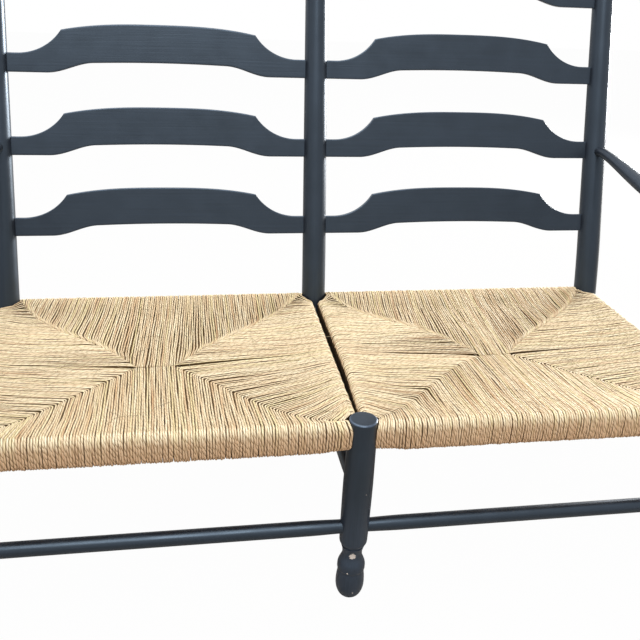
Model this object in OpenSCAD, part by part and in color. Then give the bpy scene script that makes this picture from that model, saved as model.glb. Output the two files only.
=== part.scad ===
// Ladder-back bench: two rush seats side by side, three raked rear posts with four slats in each bay,
// three turned front legs, round stretchers and two arms.
// Millimetres. X runs along the bench, Y to the back, Z up from the floor.

/* [Bench] */
// Distance between neighbouring rear posts
bay_w = 620; // [540:5:720]
// Distance from the rear posts forward to the front legs
seat_d = 491; // [420:1:560]
// How far each outer front leg stands outside its rear post
splay = 36; // [10:1:60]
// Height of the centre front leg
seat_z = 363; // [340:1:420]

/* [Rear posts] */
// Radius of a rear post at the seat
post_r = 24.2; // [22:0.1:27]
// Radius of a rear post under its finial
post_top_r = 21.2; // [18:0.1:24]
// Radius of a rear post at the floor
post_foot_r = 20.5; // [17:0.1:23]
// Worn edge round the foot of a rear post
post_foot_edge = 2.5; // [1:0.5:4]
// Height of the tapered foot of a rear post, where its bend begins
bend_z = 50; // [25:1:110]
// Height at which the bend ends and the straight back begins
back_z = 475; // [450:1:510]
// Lean of the straight back, in degrees
back_lean = 14.5; // [12:0.1:17]
// Length of post above the crown of the top slat
post_over = 22; // [10:1:50]

/* [Finials] */
// Radius of the neck
finial_neck_r = 11; // [9:0.5:13]
// Length of the neck with its two tapers
finial_neck_h = 17; // [12:1:24]
// Radius of the collar
finial_collar_r = 15.5; // [14:0.5:18]
// Lip where the post's shoulder ends on the neck
finial_lip = 1; // [0.5:0.25:2]
// Height of the collar
finial_collar_h = 5; // [3:0.5:8]
// Radius of the ball
finial_ball_r = 17.5; // [16:0.5:20]
// Radius of the button on the ball
finial_tip_r = 4; // [2:0.5:6]
// Height of the button on the ball
finial_tip_h = 5; // [3:0.5:8]

/* [Slats] */
// Number of slats in a bay
slat_count = 4; // [4:1:4]
// Distance from the start of the straight back to the lowest slat
slat_up = 12.4; // [4:0.2:40]
// Distance from one slat to the next, along the lean
slat_pitch = 158; // [140:1:170]
// Thickness of a slat
slat_t = 9; // [7:0.5:11]
// Height of a slat where it enters a post
slat_end_h = 36; // [30:0.5:44]
// Height of a slat's crown over the bottom of its ends
slat_crown_h = 95; // [88:0.5:102]
// Height of a slat's shoulders over the bottom of its ends
slat_shoulder_h = 81; // [72:0.5:86]
// Power of the crown's curve: 2 is a parabola, more is flatter in the middle
slat_crown_power = 2.8; // [2:0.1:4]
// Distance from a post's axis to a shoulder
slat_shoulder_in = 123; // [105:1:140]
// Distance from a post's axis to the foot of the cove below a shoulder
slat_cove_in = 40; // [30:1:50]
// Rise of the bottom edge in the middle of a slat
slat_belly_h = 22.4; // [16:0.2:26]
// Fall of the bottom edge from the middle to the upper end of its ogee
slat_belly_fall = 2.4; // [0:0.2:4]
// Distance from a post's axis to the lower end of the ogee in the bottom edge
slat_ogee_in = 93; // [80:1:100]
// Length of the ogee in the bottom edge
slat_ogee_w = 92; // [60:1:110]
// Wood left between the two slat tenons in the centre post
slat_web = 4; // [2:0.5:8]

/* [Slat pegs] */
// Radius of the pegs that hold the top slats
peg_r = 3; // [2:0.25:4]
// How far a peg reaches past the middle of its slat
peg_past = 9; // [6:0.5:12]
// How far a peg stands proud of the back of its post
peg_proud = 0.8; // [0.2:0.2:2]
// Distance from a post's axis to a peg
peg_in = 11; // [8:0.5:13]
// Height of a peg over the bottom of its slat's end
peg_up = 18; // [10:1:24]

/* [Front legs] */
// Largest radius of a front leg, at its middle
leg_r = 25.3; // [23:0.1:28]
// Height of the largest radius
leg_r_z = 240; // [190:1:280]
// Radius at the top of the centre leg
leg_top_r = 23.6; // [21:0.1:26]
// Chamfer round the top of the centre leg
leg_top_chamfer = 2; // [1:0.5:4]
// Radius of the shaft just above the foot turning
leg_low_r = 24.2; // [22:0.1:26]
// Radius of an outer leg where it meets the arm
arm_post_r = 15.5; // [13:0.5:18]
// Height above the seat where an outer leg begins its taper to the arm
arm_post_rise = 24; // [10:1:60]
// Radius of the bead below an outer leg's taper
arm_bead_r = 26; // [24:0.5:29]
// Height of the bead below an outer leg's taper
arm_bead_h = 9; // [6:0.5:14]

/* [Foot turning] */
// Radius of the flat that a foot stands on
foot_flat_r = 10; // [8:0.5:16]
// Largest radius of the egg
egg_r = 25; // [23:0.1:28]
// Height of the egg's largest radius
egg_z = 29; // [24:0.5:36]
// Radius of the pinch between egg and ring
pinch_r = 22.4; // [20:0.1:24]
// Height of the pinch
pinch_z = 56; // [50:0.5:60]
// Radius of the ring
ring_r = 24.3; // [23:0.1:27]
// Height of the ring
ring_z = 66.5; // [64:0.5:71]
// Radius of the neck
neck_r = 17.2; // [14:0.1:20]
// Height of the neck
neck_z = 92.5; // [86:0.5:97]
// Radius of the flare over the neck
flare_r = 20; // [18:0.1:22]
// Height of the flare's rim
flare_z = 108; // [104.5:0.5:110.5]
// Height at which the shaft's rounded end begins
shaft_z = 112.5; // [111.5:0.5:117]
// Height of the shaft's rounded end
shaft_round_h = 9; // [5:0.5:14]
// Radius of the groove under the shaft
groove_r = 18.8; // [16:0.1:20]

/* [Seat rails] */
// Height of a rail's oval section
rail_h = 45; // [38:0.5:50]
// Thickness of the outer rails
rail_t = 25; // [20:0.5:30]
// Thickness of the two middle rails
mid_rail_t = 16; // [14:0.25:18]
// Radius of the outer rails' tenons
rail_tenon_r = 6.5; // [5:0.25:7]
// Radius of the middle rails' tenons
mid_tenon_r = 5; // [4:0.25:5.5]
// Depth of a rail tenon in its post or leg
rail_tenon_l = 18; // [14:0.5:19]
// Depth of a middle rail's tenon in its post or leg
mid_tenon_l = 20; // [14:0.5:22]
// Distance of the tenons above or below the middle of a rail
rail_tenon_off = 9; // [7.5:0.25:11]

/* [Stretchers] */
// Radius of the front stretchers
front_str_r = 13; // [11:0.1:14]
// Height of the front stretchers
front_str_z = 148; // [137:1:160]
// Radius of the side and rear stretchers
side_str_r = 11.5; // [9:0.1:13]
// Height of the side stretchers
side_str_z = 216; // [200:1:226]
// Height of the rear stretchers
rear_str_z = 170; // [155:1:174]
// Radius of a stretcher's tenon
str_tenon_r = 8; // [6:0.25:9]
// Depth of a stretcher's tenon in its post or leg
str_tenon_l = 19; // [15:0.5:20]

/* [Arms] */
// Height of an arm's middle line over the outer front leg
arm_z = 618; // [580:1:650]
// How much higher an arm starts at the rear post
arm_rise = 45; // [30:1:60]
// Drop of an arm's first stretch, where it leaves the post square to its lean
arm_dip = 9; // [4:0.5:14]
// Radius of an arm's round end in the rear post
arm_root_r = 10; // [9:0.25:11.5]
// Depth of the round end in the rear post
arm_root_l = 17; // [12:0.5:18]
// Width of an arm over the front leg
arm_w = 54; // [44:1:64]
// Thickness of an arm over the front leg
arm_t = 28; // [24:0.5:32]
// How far an arm reaches past the front leg
arm_nose = 44; // [36:1:60]
// Radius of the leg's tenon in an arm
arm_tenon_r = 9; // [6:0.25:11]
// Wood left over the leg's tenon
arm_skin = 6; // [4:0.5:9]
// How far the top of an outer leg's shaft is let into the arm past its edge
arm_sink = 1; // [0.5:0.5:3]

/* [Rush] */
// Thickness of one rush cord
cord_d = 4; // [3:0.1:5]
// Height of the centre leg above the rush
leg_over = 3; // [1:0.5:8]
// Gap between the two seats
seat_gap = 9.5; // [5:0.5:11]
// How much the woven panel lies below the rolls, above and below
panel_dip = 5; // [2:0.5:9]
// Distance from the rails to the padding inside the rush
pad_in = 55; // [45:1:80]
// Thickness of the padding inside the rush
pad_t = 18; // [8:0.5:24]

/* [Fits] */
// Glue gap round a tenon, peg or slat end
glue_gap = 0.1; // [0.05:0.01:0.2]
// Gap between the rush and the wood or padding it goes round
soft_gap = 0.3; // [0.2:0.05:0.5]
// How far a stretcher's full round runs into its leg past the rim
str_sink = 0.5; // [0.3:0.1:1]

/* [Hidden] */

// Fineness of round shapes
$fn = 96;
curve_steps = 8;
arm_body_rings = 18;
arm_nose_rings = 8;
arm_sides = 20;
bend_rings = 14;
post_sides = 48;
wood = "#33373d";
rush = "#d2b078";
padding = "#b09468";

// Seat levels
roll_top = seat_z - leg_over;
rail_z = roll_top - cord_d - rail_h / 2;
rail_high = rail_z + rail_tenon_off;
rail_low = rail_z - rail_tenon_off;
roll_t = rail_t + 2 * cord_d;
roll_h = rail_h + 2 * cord_d;
mid_roll_t = mid_rail_t + 2 * cord_d;
mid_x = (seat_gap + mid_roll_t) / 2;

// Rear post: a tapered foot, one long bend from it to the back, then a straight rake.
// Y is 0 on the posts' axes at the top of the rush.
bend_r = (back_z - bend_z) / sin(back_lean);
function lean_at(z) = asin((z - bend_z) / bend_r);
foot_y = bend_r * (cos(lean_at(roll_top)) - 1);
function post_y(z) = foot_y + bend_r * (1 - cos(lean_at(z)));
back_y = post_y(back_z);
crown_s = slat_up + (slat_count - 1) * slat_pitch + slat_crown_h;
shoulder_s = crown_s + post_over;
front_x = bay_w + splay;

// Radius of a rear post at s along its straight back, and of a front leg's shaft at height z
function post_r_at(s) = post_r + (post_top_r - post_r) * s / shoulder_s;
function leg_r_at(z) = z < leg_r_z
    ? leg_low_r + (leg_r - leg_low_r) * (z - shaft_z) / (leg_r_z - shaft_z)
    : leg_r + (leg_top_r - leg_r) * (z - leg_r_z) / (seat_z - leg_r_z);

// Points of an arc about c, from angle a to angle b
function arc(c, r, a, b, n = curve_steps) =
    [for (i = [0:n]) let (t = a + (b - a) * i / n) [c.x + r * cos(t), c.y + r * sin(t)]];

// Slat outline, from the distance x to the middle of its bay
half_bay = bay_w / 2;
shoulder_x = half_bay - slat_shoulder_in;
cove_x = half_bay - slat_cove_in;
cove_run = cove_x - shoulder_x;
cove_rise = slat_shoulder_h - slat_end_h;
cove_r = (cove_run * cove_run + cove_rise * cove_rise) / (2 * cove_rise);
ogee_end = half_bay - slat_ogee_in;
ogee_start = ogee_end - slat_ogee_w;
ogee_h = slat_belly_h - slat_belly_fall;
slat_half = half_bay - slat_web / 2;
function slat_top(x) =
    x <= shoulder_x ? slat_crown_h
        - (slat_crown_h - slat_shoulder_h) * pow(x / shoulder_x, slat_crown_power)
    : x < cove_x ? slat_end_h + cove_r - sqrt(cove_r * cove_r - (cove_x - x) * (cove_x - x))
    : slat_end_h;
function slat_bottom(x) =
    x <= ogee_start ? slat_belly_h - slat_belly_fall * pow(x / ogee_start, 2)
    : x < ogee_end ? ogee_h * (1 + cos(180 * (x - ogee_start) / slat_ogee_w)) / 2
    : 0;
function stations(a, b, n) = [for (i = [0:n - 1]) a + (b - a) * i / n];
top_x = concat(stations(0, shoulder_x, 14), stations(shoulder_x, cove_x, 10), [cove_x, slat_half]);
bottom_x = concat(stations(0, ogee_start, 6), stations(ogee_start, ogee_end, 12), [ogee_end, slat_half]);
top_half = [for (x = top_x) [x, slat_top(x)]];
bottom_half = [for (x = bottom_x) [x, slat_bottom(x)]];
function flipped(points) = [for (i = [len(points) - 1:-1:1]) [-points[i].x, points[i].y]];
function backwards(points) = [for (i = [len(points) - 1:-1:0]) points[i]];
slat_outline = concat(flipped(bottom_half), bottom_half, backwards(top_half), backwards(flipped(top_half)));

// Turned profiles, as radius and height
neck_top_s = shoulder_s + finial_neck_h;
collar_top_s = neck_top_s + finial_collar_h;
ball_start = asin(-sqrt(1 - pow(finial_neck_r / finial_ball_r, 2)));
ball_s = collar_top_s + finial_collar_r - finial_neck_r - finial_ball_r * sin(ball_start);
ball_end = acos(finial_tip_r / finial_ball_r);
tip_base_s = ball_s + finial_ball_r * sin(ball_end);
neck_fall = finial_collar_r - finial_neck_r;
finial_profile = concat(
    [[0, shoulder_s], [finial_neck_r, shoulder_s], [finial_neck_r, neck_top_s - neck_fall / 2]],
    [[finial_collar_r, neck_top_s], [finial_collar_r, collar_top_s]],
    arc([0, ball_s], finial_ball_r, ball_start, ball_end, 2 * curve_steps),
    [for (i = [1:curve_steps]) let (a = 90 * i / curve_steps)
        [finial_tip_r * cos(a), tip_base_s + finial_tip_h * sin(a)]]);
foot_pad_profile = [
    [0, 0], [post_foot_r - post_foot_edge, 0], [post_foot_r - post_foot_edge / 2, post_foot_edge],
    [post_foot_r - post_foot_edge / 2, 2 * post_foot_edge], [0, 2 * post_foot_edge]];
function egg_low(i) = let (a = 90 * i / curve_steps)
    [foot_flat_r + (egg_r - foot_flat_r) * sin(a), egg_z * (1 - cos(a))];
function egg_high(i) = let (t = i / curve_steps)
    [egg_r - (egg_r - pinch_r) * t * t, egg_z + (pinch_z - egg_z) * t];
function neck_curve(i) = let (t = i / curve_steps)
    [neck_r + (ring_r - neck_r) * (1 + cos(180 * t)) / 2, ring_z + (neck_z - ring_z) * t];
function flare_curve(i) = let (t = i / curve_steps)
    [neck_r + (flare_r - neck_r) * t * t, neck_z + (flare_z - neck_z) * t];
function shaft_round(i) = let (a = 90 * i / curve_steps)
    [groove_r + (leg_low_r - groove_r) * sin(a), shaft_z + shaft_round_h * (1 - cos(a))];
ring_low_z = pinch_z + (ring_z - pinch_z) / 2;
foot_profile = concat(
    [[0, 0]], [for (i = [0:curve_steps]) egg_low(i)], [for (i = [1:curve_steps]) egg_high(i)],
    [[ring_r, ring_low_z]], [for (i = [0:curve_steps]) neck_curve(i)],
    [for (i = [1:curve_steps]) flare_curve(i)], [[groove_r, flare_z], [groove_r, shaft_z]],
    [for (i = [1:curve_steps]) shaft_round(i)], [[leg_r, leg_r_z]]);
bead_z = roll_top + arm_post_rise;
arm_seat_z = arm_z - arm_t / 2 * sqrt(1 - pow(2 * arm_post_r / arm_w, 2)) + arm_sink;
bead_r_low = leg_r_at(bead_z);
arm_tenon_z = arm_z + arm_t / 2 - arm_skin;
outer_top = concat(
    [[bead_r_low, bead_z]],
    [for (i = [1:curve_steps - 1]) let (a = 180 * i / curve_steps)
        [bead_r_low + (arm_bead_r - bead_r_low) * sin(a), bead_z + arm_bead_h * (1 - cos(a)) / 2]],
    [[bead_r_low, bead_z + arm_bead_h], [arm_post_r, arm_seat_z]],
    [[arm_tenon_r, arm_seat_z], [arm_tenon_r, arm_tenon_z], [0, arm_tenon_z]]);
centre_top = [[leg_top_r, seat_z - leg_top_chamfer], [leg_top_r - leg_top_chamfer, seat_z], [0, seat_z]];

// A ring of n points about c, and the faces of a body swept through rings of n, closed by two end points
function unit(v) = v / norm(v);
function ring(c, side, up, n) = [for (j = [0:n - 1]) c + cos(360 * j / n) * side + sin(360 * j / n) * up];
function swept_faces(rings, n) = let (first = rings * n, last = first - n) concat(
    [for (i = [0:rings - 2], j = [0:n - 1]) let (k = (j + 1) % n)
        [i * n + j, i * n + k, (i + 1) * n + k, (i + 1) * n + j]],
    [for (j = [0:n - 1]) [first, (j + 1) % n, j]],
    [for (j = [0:n - 1]) [first + 1, last + j, last + (j + 1) % n]]);

// Arm: middle line, width and thickness at f, 0 at the rear post's face and 1 over the front leg.
// It drops at once over dip_f, and has its full width at full_w_f and its full thickness at full_t_f.
// Its body starts arm_lip wider than the round end that goes into the post.
root_s = (arm_z + arm_rise - arm_dip - back_z) / cos(back_lean);
root_face = post_r_at(root_s);
root_y = back_y + root_s * sin(back_lean) - root_face * cos(back_lean);
root_z = back_z + root_s * cos(back_lean) + root_face * sin(back_lean);
arm_run = seat_d + root_y;
nose_f = 1 + arm_nose / arm_run;
dip_f = 0.04;
full_w_f = 0.57;
full_t_f = 0.33;
step_f = 0.002;
arm_lip = 0.4;
arm_body_r = arm_root_r + arm_lip;
function arm_point(f) = [
    bay_w + splay * min(f, 1), root_y - arm_run * f,
    arm_z + (root_z - arm_z + arm_dip) * pow(1 - f, 2) - arm_dip * exp(-f / dip_f)];
function eased(f) = let (t = max(0, min(1, f))) t * t * (3 - 2 * t);
function nose_taper(f) = let (t = max(0, (f - 1) / (nose_f - 1))) sqrt(max(0, 1 - t * t));
function arm_half_w(f) = (arm_body_r + (arm_w / 2 - arm_body_r) * eased(f / full_w_f)) * nose_taper(f);
function arm_half_t(f) = (arm_body_r + (arm_t / 2 - arm_body_r) * eased(f / full_t_f)) * nose_taper(f);
function arm_f(i) = i <= arm_body_rings
    ? i / arm_body_rings : 1 + (nose_f - 1) * sin(90 * (i - arm_body_rings) / arm_nose_rings);
function arm_dir(f) = unit(arm_point(f + step_f) - arm_point(f - step_f));
function arm_ring(f) = let (d = arm_dir(f), side = unit(cross(d, [0, 0, 1])))
    ring(arm_point(f), arm_half_w(f) * side, arm_half_t(f) * cross(side, d), arm_sides);
arm_rings = arm_body_rings + arm_nose_rings;
arm_points = concat(
    [for (i = [0:arm_rings - 1]) each arm_ring(arm_f(i))], [arm_point(0), arm_point(nose_f)]);

// Rear post: lean, place and radius at each ring, from the foot to the neck of the finial
function bend_point(lean) = [0, foot_y + bend_r * (1 - cos(lean)), bend_z + bend_r * sin(lean)];
function back_point(s) = [0, back_y + s * sin(back_lean), back_z + s * cos(back_lean)];
post_stations = concat(
    [[0, [0, foot_y, post_foot_edge], post_foot_r]],
    [for (i = [0:bend_rings]) let (lean = back_lean * i / bend_rings) [lean, bend_point(lean), post_r]],
    [[back_lean, back_point(shoulder_s), post_top_r]],
    [[back_lean, back_point(shoulder_s + finial_neck_h / 2), finial_neck_r + finial_lip]]);
post_points = concat(
    [for (p = post_stations) each ring(p[1], [-p[2], 0, 0], p[2] * [0, cos(p[0]), -sin(p[0])], post_sides)],
    [post_stations[0][1], back_point(shoulder_s + finial_neck_h / 2)]);

// The origin lies on the floor, midway between the front of the arms and the back of the finials
front_y = min([for (p = arm_points) p.y]);
rear_y = max([for (p = finial_profile) back_y + p.y * sin(back_lean) + p.x * cos(back_lean)]);
shift_y = -(front_y + rear_y) / 2;

module placed(side = 1) {
    translate([0, shift_y, 0]) mirror([side < 0 ? 1 : 0, 0, 0]) children();
}

// The plane of the slats, with its own Z along the straight back from where that begins
module raked() {
    translate([0, back_y, back_z]) rotate([-back_lean, 0, 0]) children();
}

// Lays a member's own Z from a to b, two points at one height, with its own X pointing down
module along(a, b) {
    translate(a) rotate([0, 0, atan2(b.y - a.y, b.x - a.x)]) rotate([0, 90, 0]) children();
}

module oval(t, h) {
    square([h - t, t], center = true);
    for (end = [-1, 1]) translate([end * (h - t) / 2, 0]) circle(d = t);
}

// Room for a rear post's bend in the rush
module post_space() {
    translate([0, foot_y + bend_r, bend_z]) rotate([0, 90, 0]) rotate([0, 0, -90 - back_lean])
        rotate_extrude(angle = back_lean) translate([bend_r, 0]) circle(post_r + soft_gap);
}

// Ends of the members, on the axes of the posts and legs of the right-hand bay
function rear_end(x, z) = [x, post_y(z), z];
function front_end(x, z) = [x, -seat_d, z];

// Distances from those axes at which a rail's oval stops short of the round
post_front = post_r / cos(lean_at(rail_z)) + rail_h / 2 * tan(lean_at(rail_z)) + glue_gap;
post_side = post_r + glue_gap;
leg_face = leg_r + glue_gap;

module rail_oval(a, b, t, face_a, face_b) {
    along(a, b) translate([0, 0, face_a]) linear_extrude(norm(b - a) - face_a - face_b) oval(t, rail_h);
}

// A round member from reach_a past a to reach_b before b
module round_bar(a, b, r, reach_a, reach_b, more = 0) {
    along(a, b) translate([0, 0, reach_a - more])
        cylinder(h = norm(b - a) - reach_a - reach_b + 2 * more, r = r + more);
}

// Both tenons of a rail are the ends of one round core
module front_rail_core(more = 0) {
    reach = leg_face - rail_tenon_l;
    round_bar(front_end(0, rail_low), front_end(front_x, rail_low), rail_tenon_r, reach, reach, more);
}

module rear_rail_core(more = 0) {
    reach = post_side - rail_tenon_l;
    round_bar(rear_end(0, rail_low), rear_end(bay_w, rail_low), rail_tenon_r, reach, reach, more);
}

module side_rail_core(more = 0) {
    round_bar(rear_end(bay_w, rail_high), front_end(front_x, rail_high), rail_tenon_r,
        post_front - rail_tenon_l, leg_face - rail_tenon_l, more);
}

module middle_rail_core(more = 0) {
    round_bar(rear_end(mid_x, rail_high), front_end(mid_x, rail_high), mid_tenon_r,
        post_front - mid_tenon_l, leg_face - mid_tenon_l, more);
}

// A stretcher's full round stops just inside its legs, and a thinner tenon goes on
module stretcher(a, b, r, leg_a, leg_b, more = 0) {
    face_a = sqrt(leg_a * leg_a - r * r) - str_sink;
    face_b = sqrt(leg_b * leg_b - r * r) - str_sink;
    round_bar(a, b, r, face_a, face_b, more);
    round_bar(a, b, str_tenon_r, leg_a - str_tenon_l, leg_b - str_tenon_l, more);
}

module front_stretcher(more = 0) {
    r = leg_r_at(front_str_z);
    stretcher(front_end(0, front_str_z), front_end(front_x, front_str_z), front_str_r, r, r, more);
}

module rear_stretcher(more = 0) {
    stretcher(rear_end(0, rear_str_z), rear_end(bay_w, rear_str_z), side_str_r, post_r, post_r, more);
}

module side_stretcher(x_rear, x_front, more = 0) {
    stretcher(rear_end(x_rear, side_str_z), front_end(x_front, side_str_z), side_str_r,
        post_r, leg_r_at(side_str_z), more);
}

// Distance along the straight back to the bottom of slat i, counted from 0 at the seat
function slat_s(i) = slat_up + i * slat_pitch;

// Slots for the slats' ends on one side of a post: dir is 1 towards +X
module slat_mortises(dir) {
    reach = post_r - slat_web / 2 + 2 * glue_gap;
    raked() for (i = [0:slat_count - 1])
        translate([dir * (slat_web / 2 - glue_gap + reach / 2), 0, slat_s(i) + slat_end_h / 2])
            cube([reach, slat_t + 2 * glue_gap, slat_end_h + 2 * glue_gap], center = true);
}

// A peg goes in from the back of its post, through the top slat's tenon
module peg(x, more = 0) {
    s = slat_s(slat_count - 1) + peg_up;
    face = sqrt(pow(post_r_at(s), 2) - peg_in * peg_in);
    raked() translate([x, face + peg_proud, s]) rotate([90, 0, 0])
        cylinder(h = face + peg_proud + peg_past + more, r = peg_r + more);
}

// The arm's round end goes into the post square to its lean
module arm_root(more = 0) {
    translate([bay_w, root_y, root_z]) rotate([90 - back_lean, 0, 0]) translate([0, 0, -arm_root_l - more])
        cylinder(h = arm_root_l + more + arm_root_r / 2, r = arm_root_r + more);
}

// The part of an outer leg that is let into its arm
module arm_post_top(more = 0) {
    low_z = arm_z - arm_t;
    taper_h = arm_seat_z - bead_z - arm_bead_h;
    low_r = arm_post_r + (bead_r_low - arm_post_r) * (arm_seat_z - low_z) / taper_h;
    translate(front_end(front_x, 0)) rotate_extrude() polygon([
        [0, low_z], [low_r + more, low_z], [arm_post_r + more, arm_seat_z + more],
        [arm_tenon_r + more, arm_seat_z + more], [arm_tenon_r + more, arm_tenon_z + more],
        [0, arm_tenon_z + more]]);
}

module rear_post_blank() {
    translate([0, foot_y, 0]) rotate_extrude() polygon(foot_pad_profile);
    polyhedron(post_points, swept_faces(len(post_stations), post_sides));
    raked() rotate_extrude() polygon(finial_profile);
}

module rear_post_outer(side) {
    placed(side) color(wood) difference() {
        translate([bay_w, 0, 0]) rear_post_blank();
        translate([bay_w, 0, 0]) slat_mortises(-1);
        peg(bay_w - peg_in, glue_gap);
        rear_rail_core(glue_gap);
        side_rail_core(glue_gap);
        rear_stretcher(glue_gap);
        side_stretcher(bay_w, front_x, glue_gap);
        arm_root(glue_gap);
    }
}

module rear_post_centre() {
    placed() color(wood) difference() {
        rear_post_blank();
        side_stretcher(0, 0, glue_gap);
        for (m = [0, 1]) mirror([m, 0, 0]) {
            slat_mortises(1);
            peg(peg_in, glue_gap);
            rear_rail_core(glue_gap);
            middle_rail_core(glue_gap);
            rear_stretcher(glue_gap);
        }
    }
}

module front_leg_outer(side) {
    placed(side) color(wood) difference() {
        translate(front_end(front_x, 0)) rotate_extrude() polygon(concat(foot_profile, outer_top));
        front_rail_core(glue_gap);
        side_rail_core(glue_gap);
        front_stretcher(glue_gap);
        side_stretcher(bay_w, front_x, glue_gap);
    }
}

module front_leg_centre() {
    placed() color(wood) difference() {
        translate(front_end(0, 0)) rotate_extrude() polygon(concat(foot_profile, centre_top));
        side_stretcher(0, 0, glue_gap);
        for (m = [0, 1]) mirror([m, 0, 0]) {
            front_rail_core(glue_gap);
            middle_rail_core(glue_gap);
            front_stretcher(glue_gap);
        }
    }
}

module slat(side, i) {
    placed(side) color(wood) difference() {
        raked() translate([half_bay, 0, slat_s(i)]) rotate([90, 0, 0])
            linear_extrude(slat_t, center = true) polygon(slat_outline);
        if (i == slat_count - 1) for (x = [peg_in, bay_w - peg_in]) peg(x, glue_gap);
    }
}

module slat_pegs() {
    for (side = [-1, 1]) placed(side) color(wood) {
        peg(peg_in);
        peg(bay_w - peg_in);
    }
}

module front_rail(side) {
    placed(side) color(wood) {
        rail_oval(front_end(0, rail_z), front_end(front_x, rail_z), rail_t, leg_face, leg_face);
        front_rail_core();
    }
}

module rear_rail(side) {
    placed(side) color(wood) {
        rail_oval(rear_end(0, rail_z), rear_end(bay_w, rail_z), rail_t, post_side, post_side);
        rear_rail_core();
    }
}

module side_rail(side) {
    placed(side) color(wood) {
        rail_oval(rear_end(bay_w, rail_z), front_end(front_x, rail_z), rail_t, post_front, leg_face);
        side_rail_core();
    }
}

module middle_rail(side) {
    placed(side) color(wood) {
        rail_oval(rear_end(mid_x, rail_z), front_end(mid_x, rail_z), mid_rail_t, post_front, leg_face);
        middle_rail_core();
    }
}

module arm(side) {
    placed(side) color(wood) difference() {
        union() {
            polyhedron(arm_points, swept_faces(arm_rings, arm_sides));
            arm_root();
        }
        arm_post_top(glue_gap);
    }
}

module seat_run(a, b, t, h) {
    along(a, b) linear_extrude(norm(b - a)) oval(t, h);
}

// The four sides of a seat, each t thick and h high, with its own thickness for the middle one
module seat_sides(t, mid_t, h) {
    seat_run(front_end(0, rail_z), front_end(front_x, rail_z), t, h);
    seat_run(rear_end(0, rail_z), rear_end(bay_w, rail_z), t, h);
    seat_run(rear_end(bay_w, rail_z), front_end(front_x, rail_z), t, h);
    seat_run(rear_end(mid_x, rail_z), front_end(mid_x, rail_z), mid_t, h);
}

// Seat plan between its rails, moved in by d
rail_y = post_y(rail_z);
function outer_x(y) = bay_w + splay * (rail_y - y) / (rail_y + seat_d);
function seat_plan(d) = [
    [mid_x + d, rail_y - d], [outer_x(rail_y - d) - d, rail_y - d],
    [outer_x(d - seat_d) - d, d - seat_d], [mid_x + d, d - seat_d]];

module seat_slab(d, t) {
    translate([0, 0, rail_z - t / 2]) linear_extrude(t) polygon(seat_plan(d));
}

module leg_space(x) {
    low_z = roll_top - roll_h - soft_gap;
    translate(front_end(x, low_z)) cylinder(h = seat_z - low_z, r = leg_r_at(low_z) + soft_gap);
}

module rush_seat(side) {
    placed(side) color(rush) difference() {
        union() {
            seat_sides(roll_t, mid_roll_t, roll_h);
            seat_slab(0, roll_h - 2 * panel_dip);
        }
        seat_sides(rail_t + 2 * soft_gap, mid_rail_t + 2 * soft_gap, rail_h + 2 * soft_gap);
        seat_slab(pad_in - soft_gap, pad_t + 2 * soft_gap);
        for (x = [0, bay_w]) translate([x, 0, 0]) post_space();
        for (x = [0, front_x]) leg_space(x);
    }
}

module seat_padding(side) {
    placed(side) color(padding) seat_slab(pad_in, pad_t);
}

rear_post_outer(-1);  // rear_post_left
rear_post_centre();
rear_post_outer(1);  // rear_post_right
slat(-1, 0);  // slat_left_1
slat(-1, 1);  // slat_left_2
slat(-1, 2);  // slat_left_3
slat(-1, 3);  // slat_left_4
slat(1, 0);  // slat_right_1
slat(1, 1);  // slat_right_2
slat(1, 2);  // slat_right_3
slat(1, 3);  // slat_right_4
slat_pegs();
front_leg_outer(-1);  // front_leg_left
front_leg_centre();
front_leg_outer(1);  // front_leg_right
front_rail(-1);  // front_rail_left
front_rail(1);  // front_rail_right
rear_rail(-1);  // rear_rail_left
rear_rail(1);  // rear_rail_right
side_rail(-1);  // side_rail_left
side_rail(1);  // side_rail_right
middle_rail(-1);  // middle_rail_left
middle_rail(1);  // middle_rail_right
placed(-1) color(wood) front_stretcher();  // front_stretcher_left
placed(1) color(wood) front_stretcher();  // front_stretcher_right
placed(-1) color(wood) rear_stretcher();  // rear_stretcher_left
placed(1) color(wood) rear_stretcher();  // rear_stretcher_right
placed(-1) color(wood) side_stretcher(bay_w, front_x);  // side_stretcher_left
placed(1) color(wood) side_stretcher(bay_w, front_x);  // side_stretcher_right
placed() color(wood) side_stretcher(0, 0);  // side_stretcher_centre
arm(-1);  // arm_left
arm(1);  // arm_right
rush_seat(-1);  // rush_seat_left
rush_seat(1);  // rush_seat_right
seat_padding(-1);  // seat_padding_left
seat_padding(1);  // seat_padding_right
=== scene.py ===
"""Ladder-back bench: turned posts and legs, sawn slats and arms, and two hand-wound rush seats."""
import math
from functools import partial
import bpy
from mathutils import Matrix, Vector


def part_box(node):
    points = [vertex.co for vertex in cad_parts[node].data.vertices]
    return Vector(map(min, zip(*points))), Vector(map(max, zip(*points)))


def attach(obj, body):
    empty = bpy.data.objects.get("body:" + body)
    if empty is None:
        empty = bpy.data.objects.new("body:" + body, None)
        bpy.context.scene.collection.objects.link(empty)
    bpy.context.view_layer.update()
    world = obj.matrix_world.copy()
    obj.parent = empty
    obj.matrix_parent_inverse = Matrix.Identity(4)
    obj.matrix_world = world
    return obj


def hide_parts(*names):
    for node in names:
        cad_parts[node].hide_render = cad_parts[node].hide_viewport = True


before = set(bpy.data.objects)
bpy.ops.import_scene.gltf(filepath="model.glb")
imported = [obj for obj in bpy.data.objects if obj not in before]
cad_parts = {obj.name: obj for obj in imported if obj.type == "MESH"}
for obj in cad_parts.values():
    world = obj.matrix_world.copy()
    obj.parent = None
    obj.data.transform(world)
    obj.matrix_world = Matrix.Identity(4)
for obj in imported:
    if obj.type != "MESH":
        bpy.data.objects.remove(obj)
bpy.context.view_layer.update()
from types import SimpleNamespace

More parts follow.
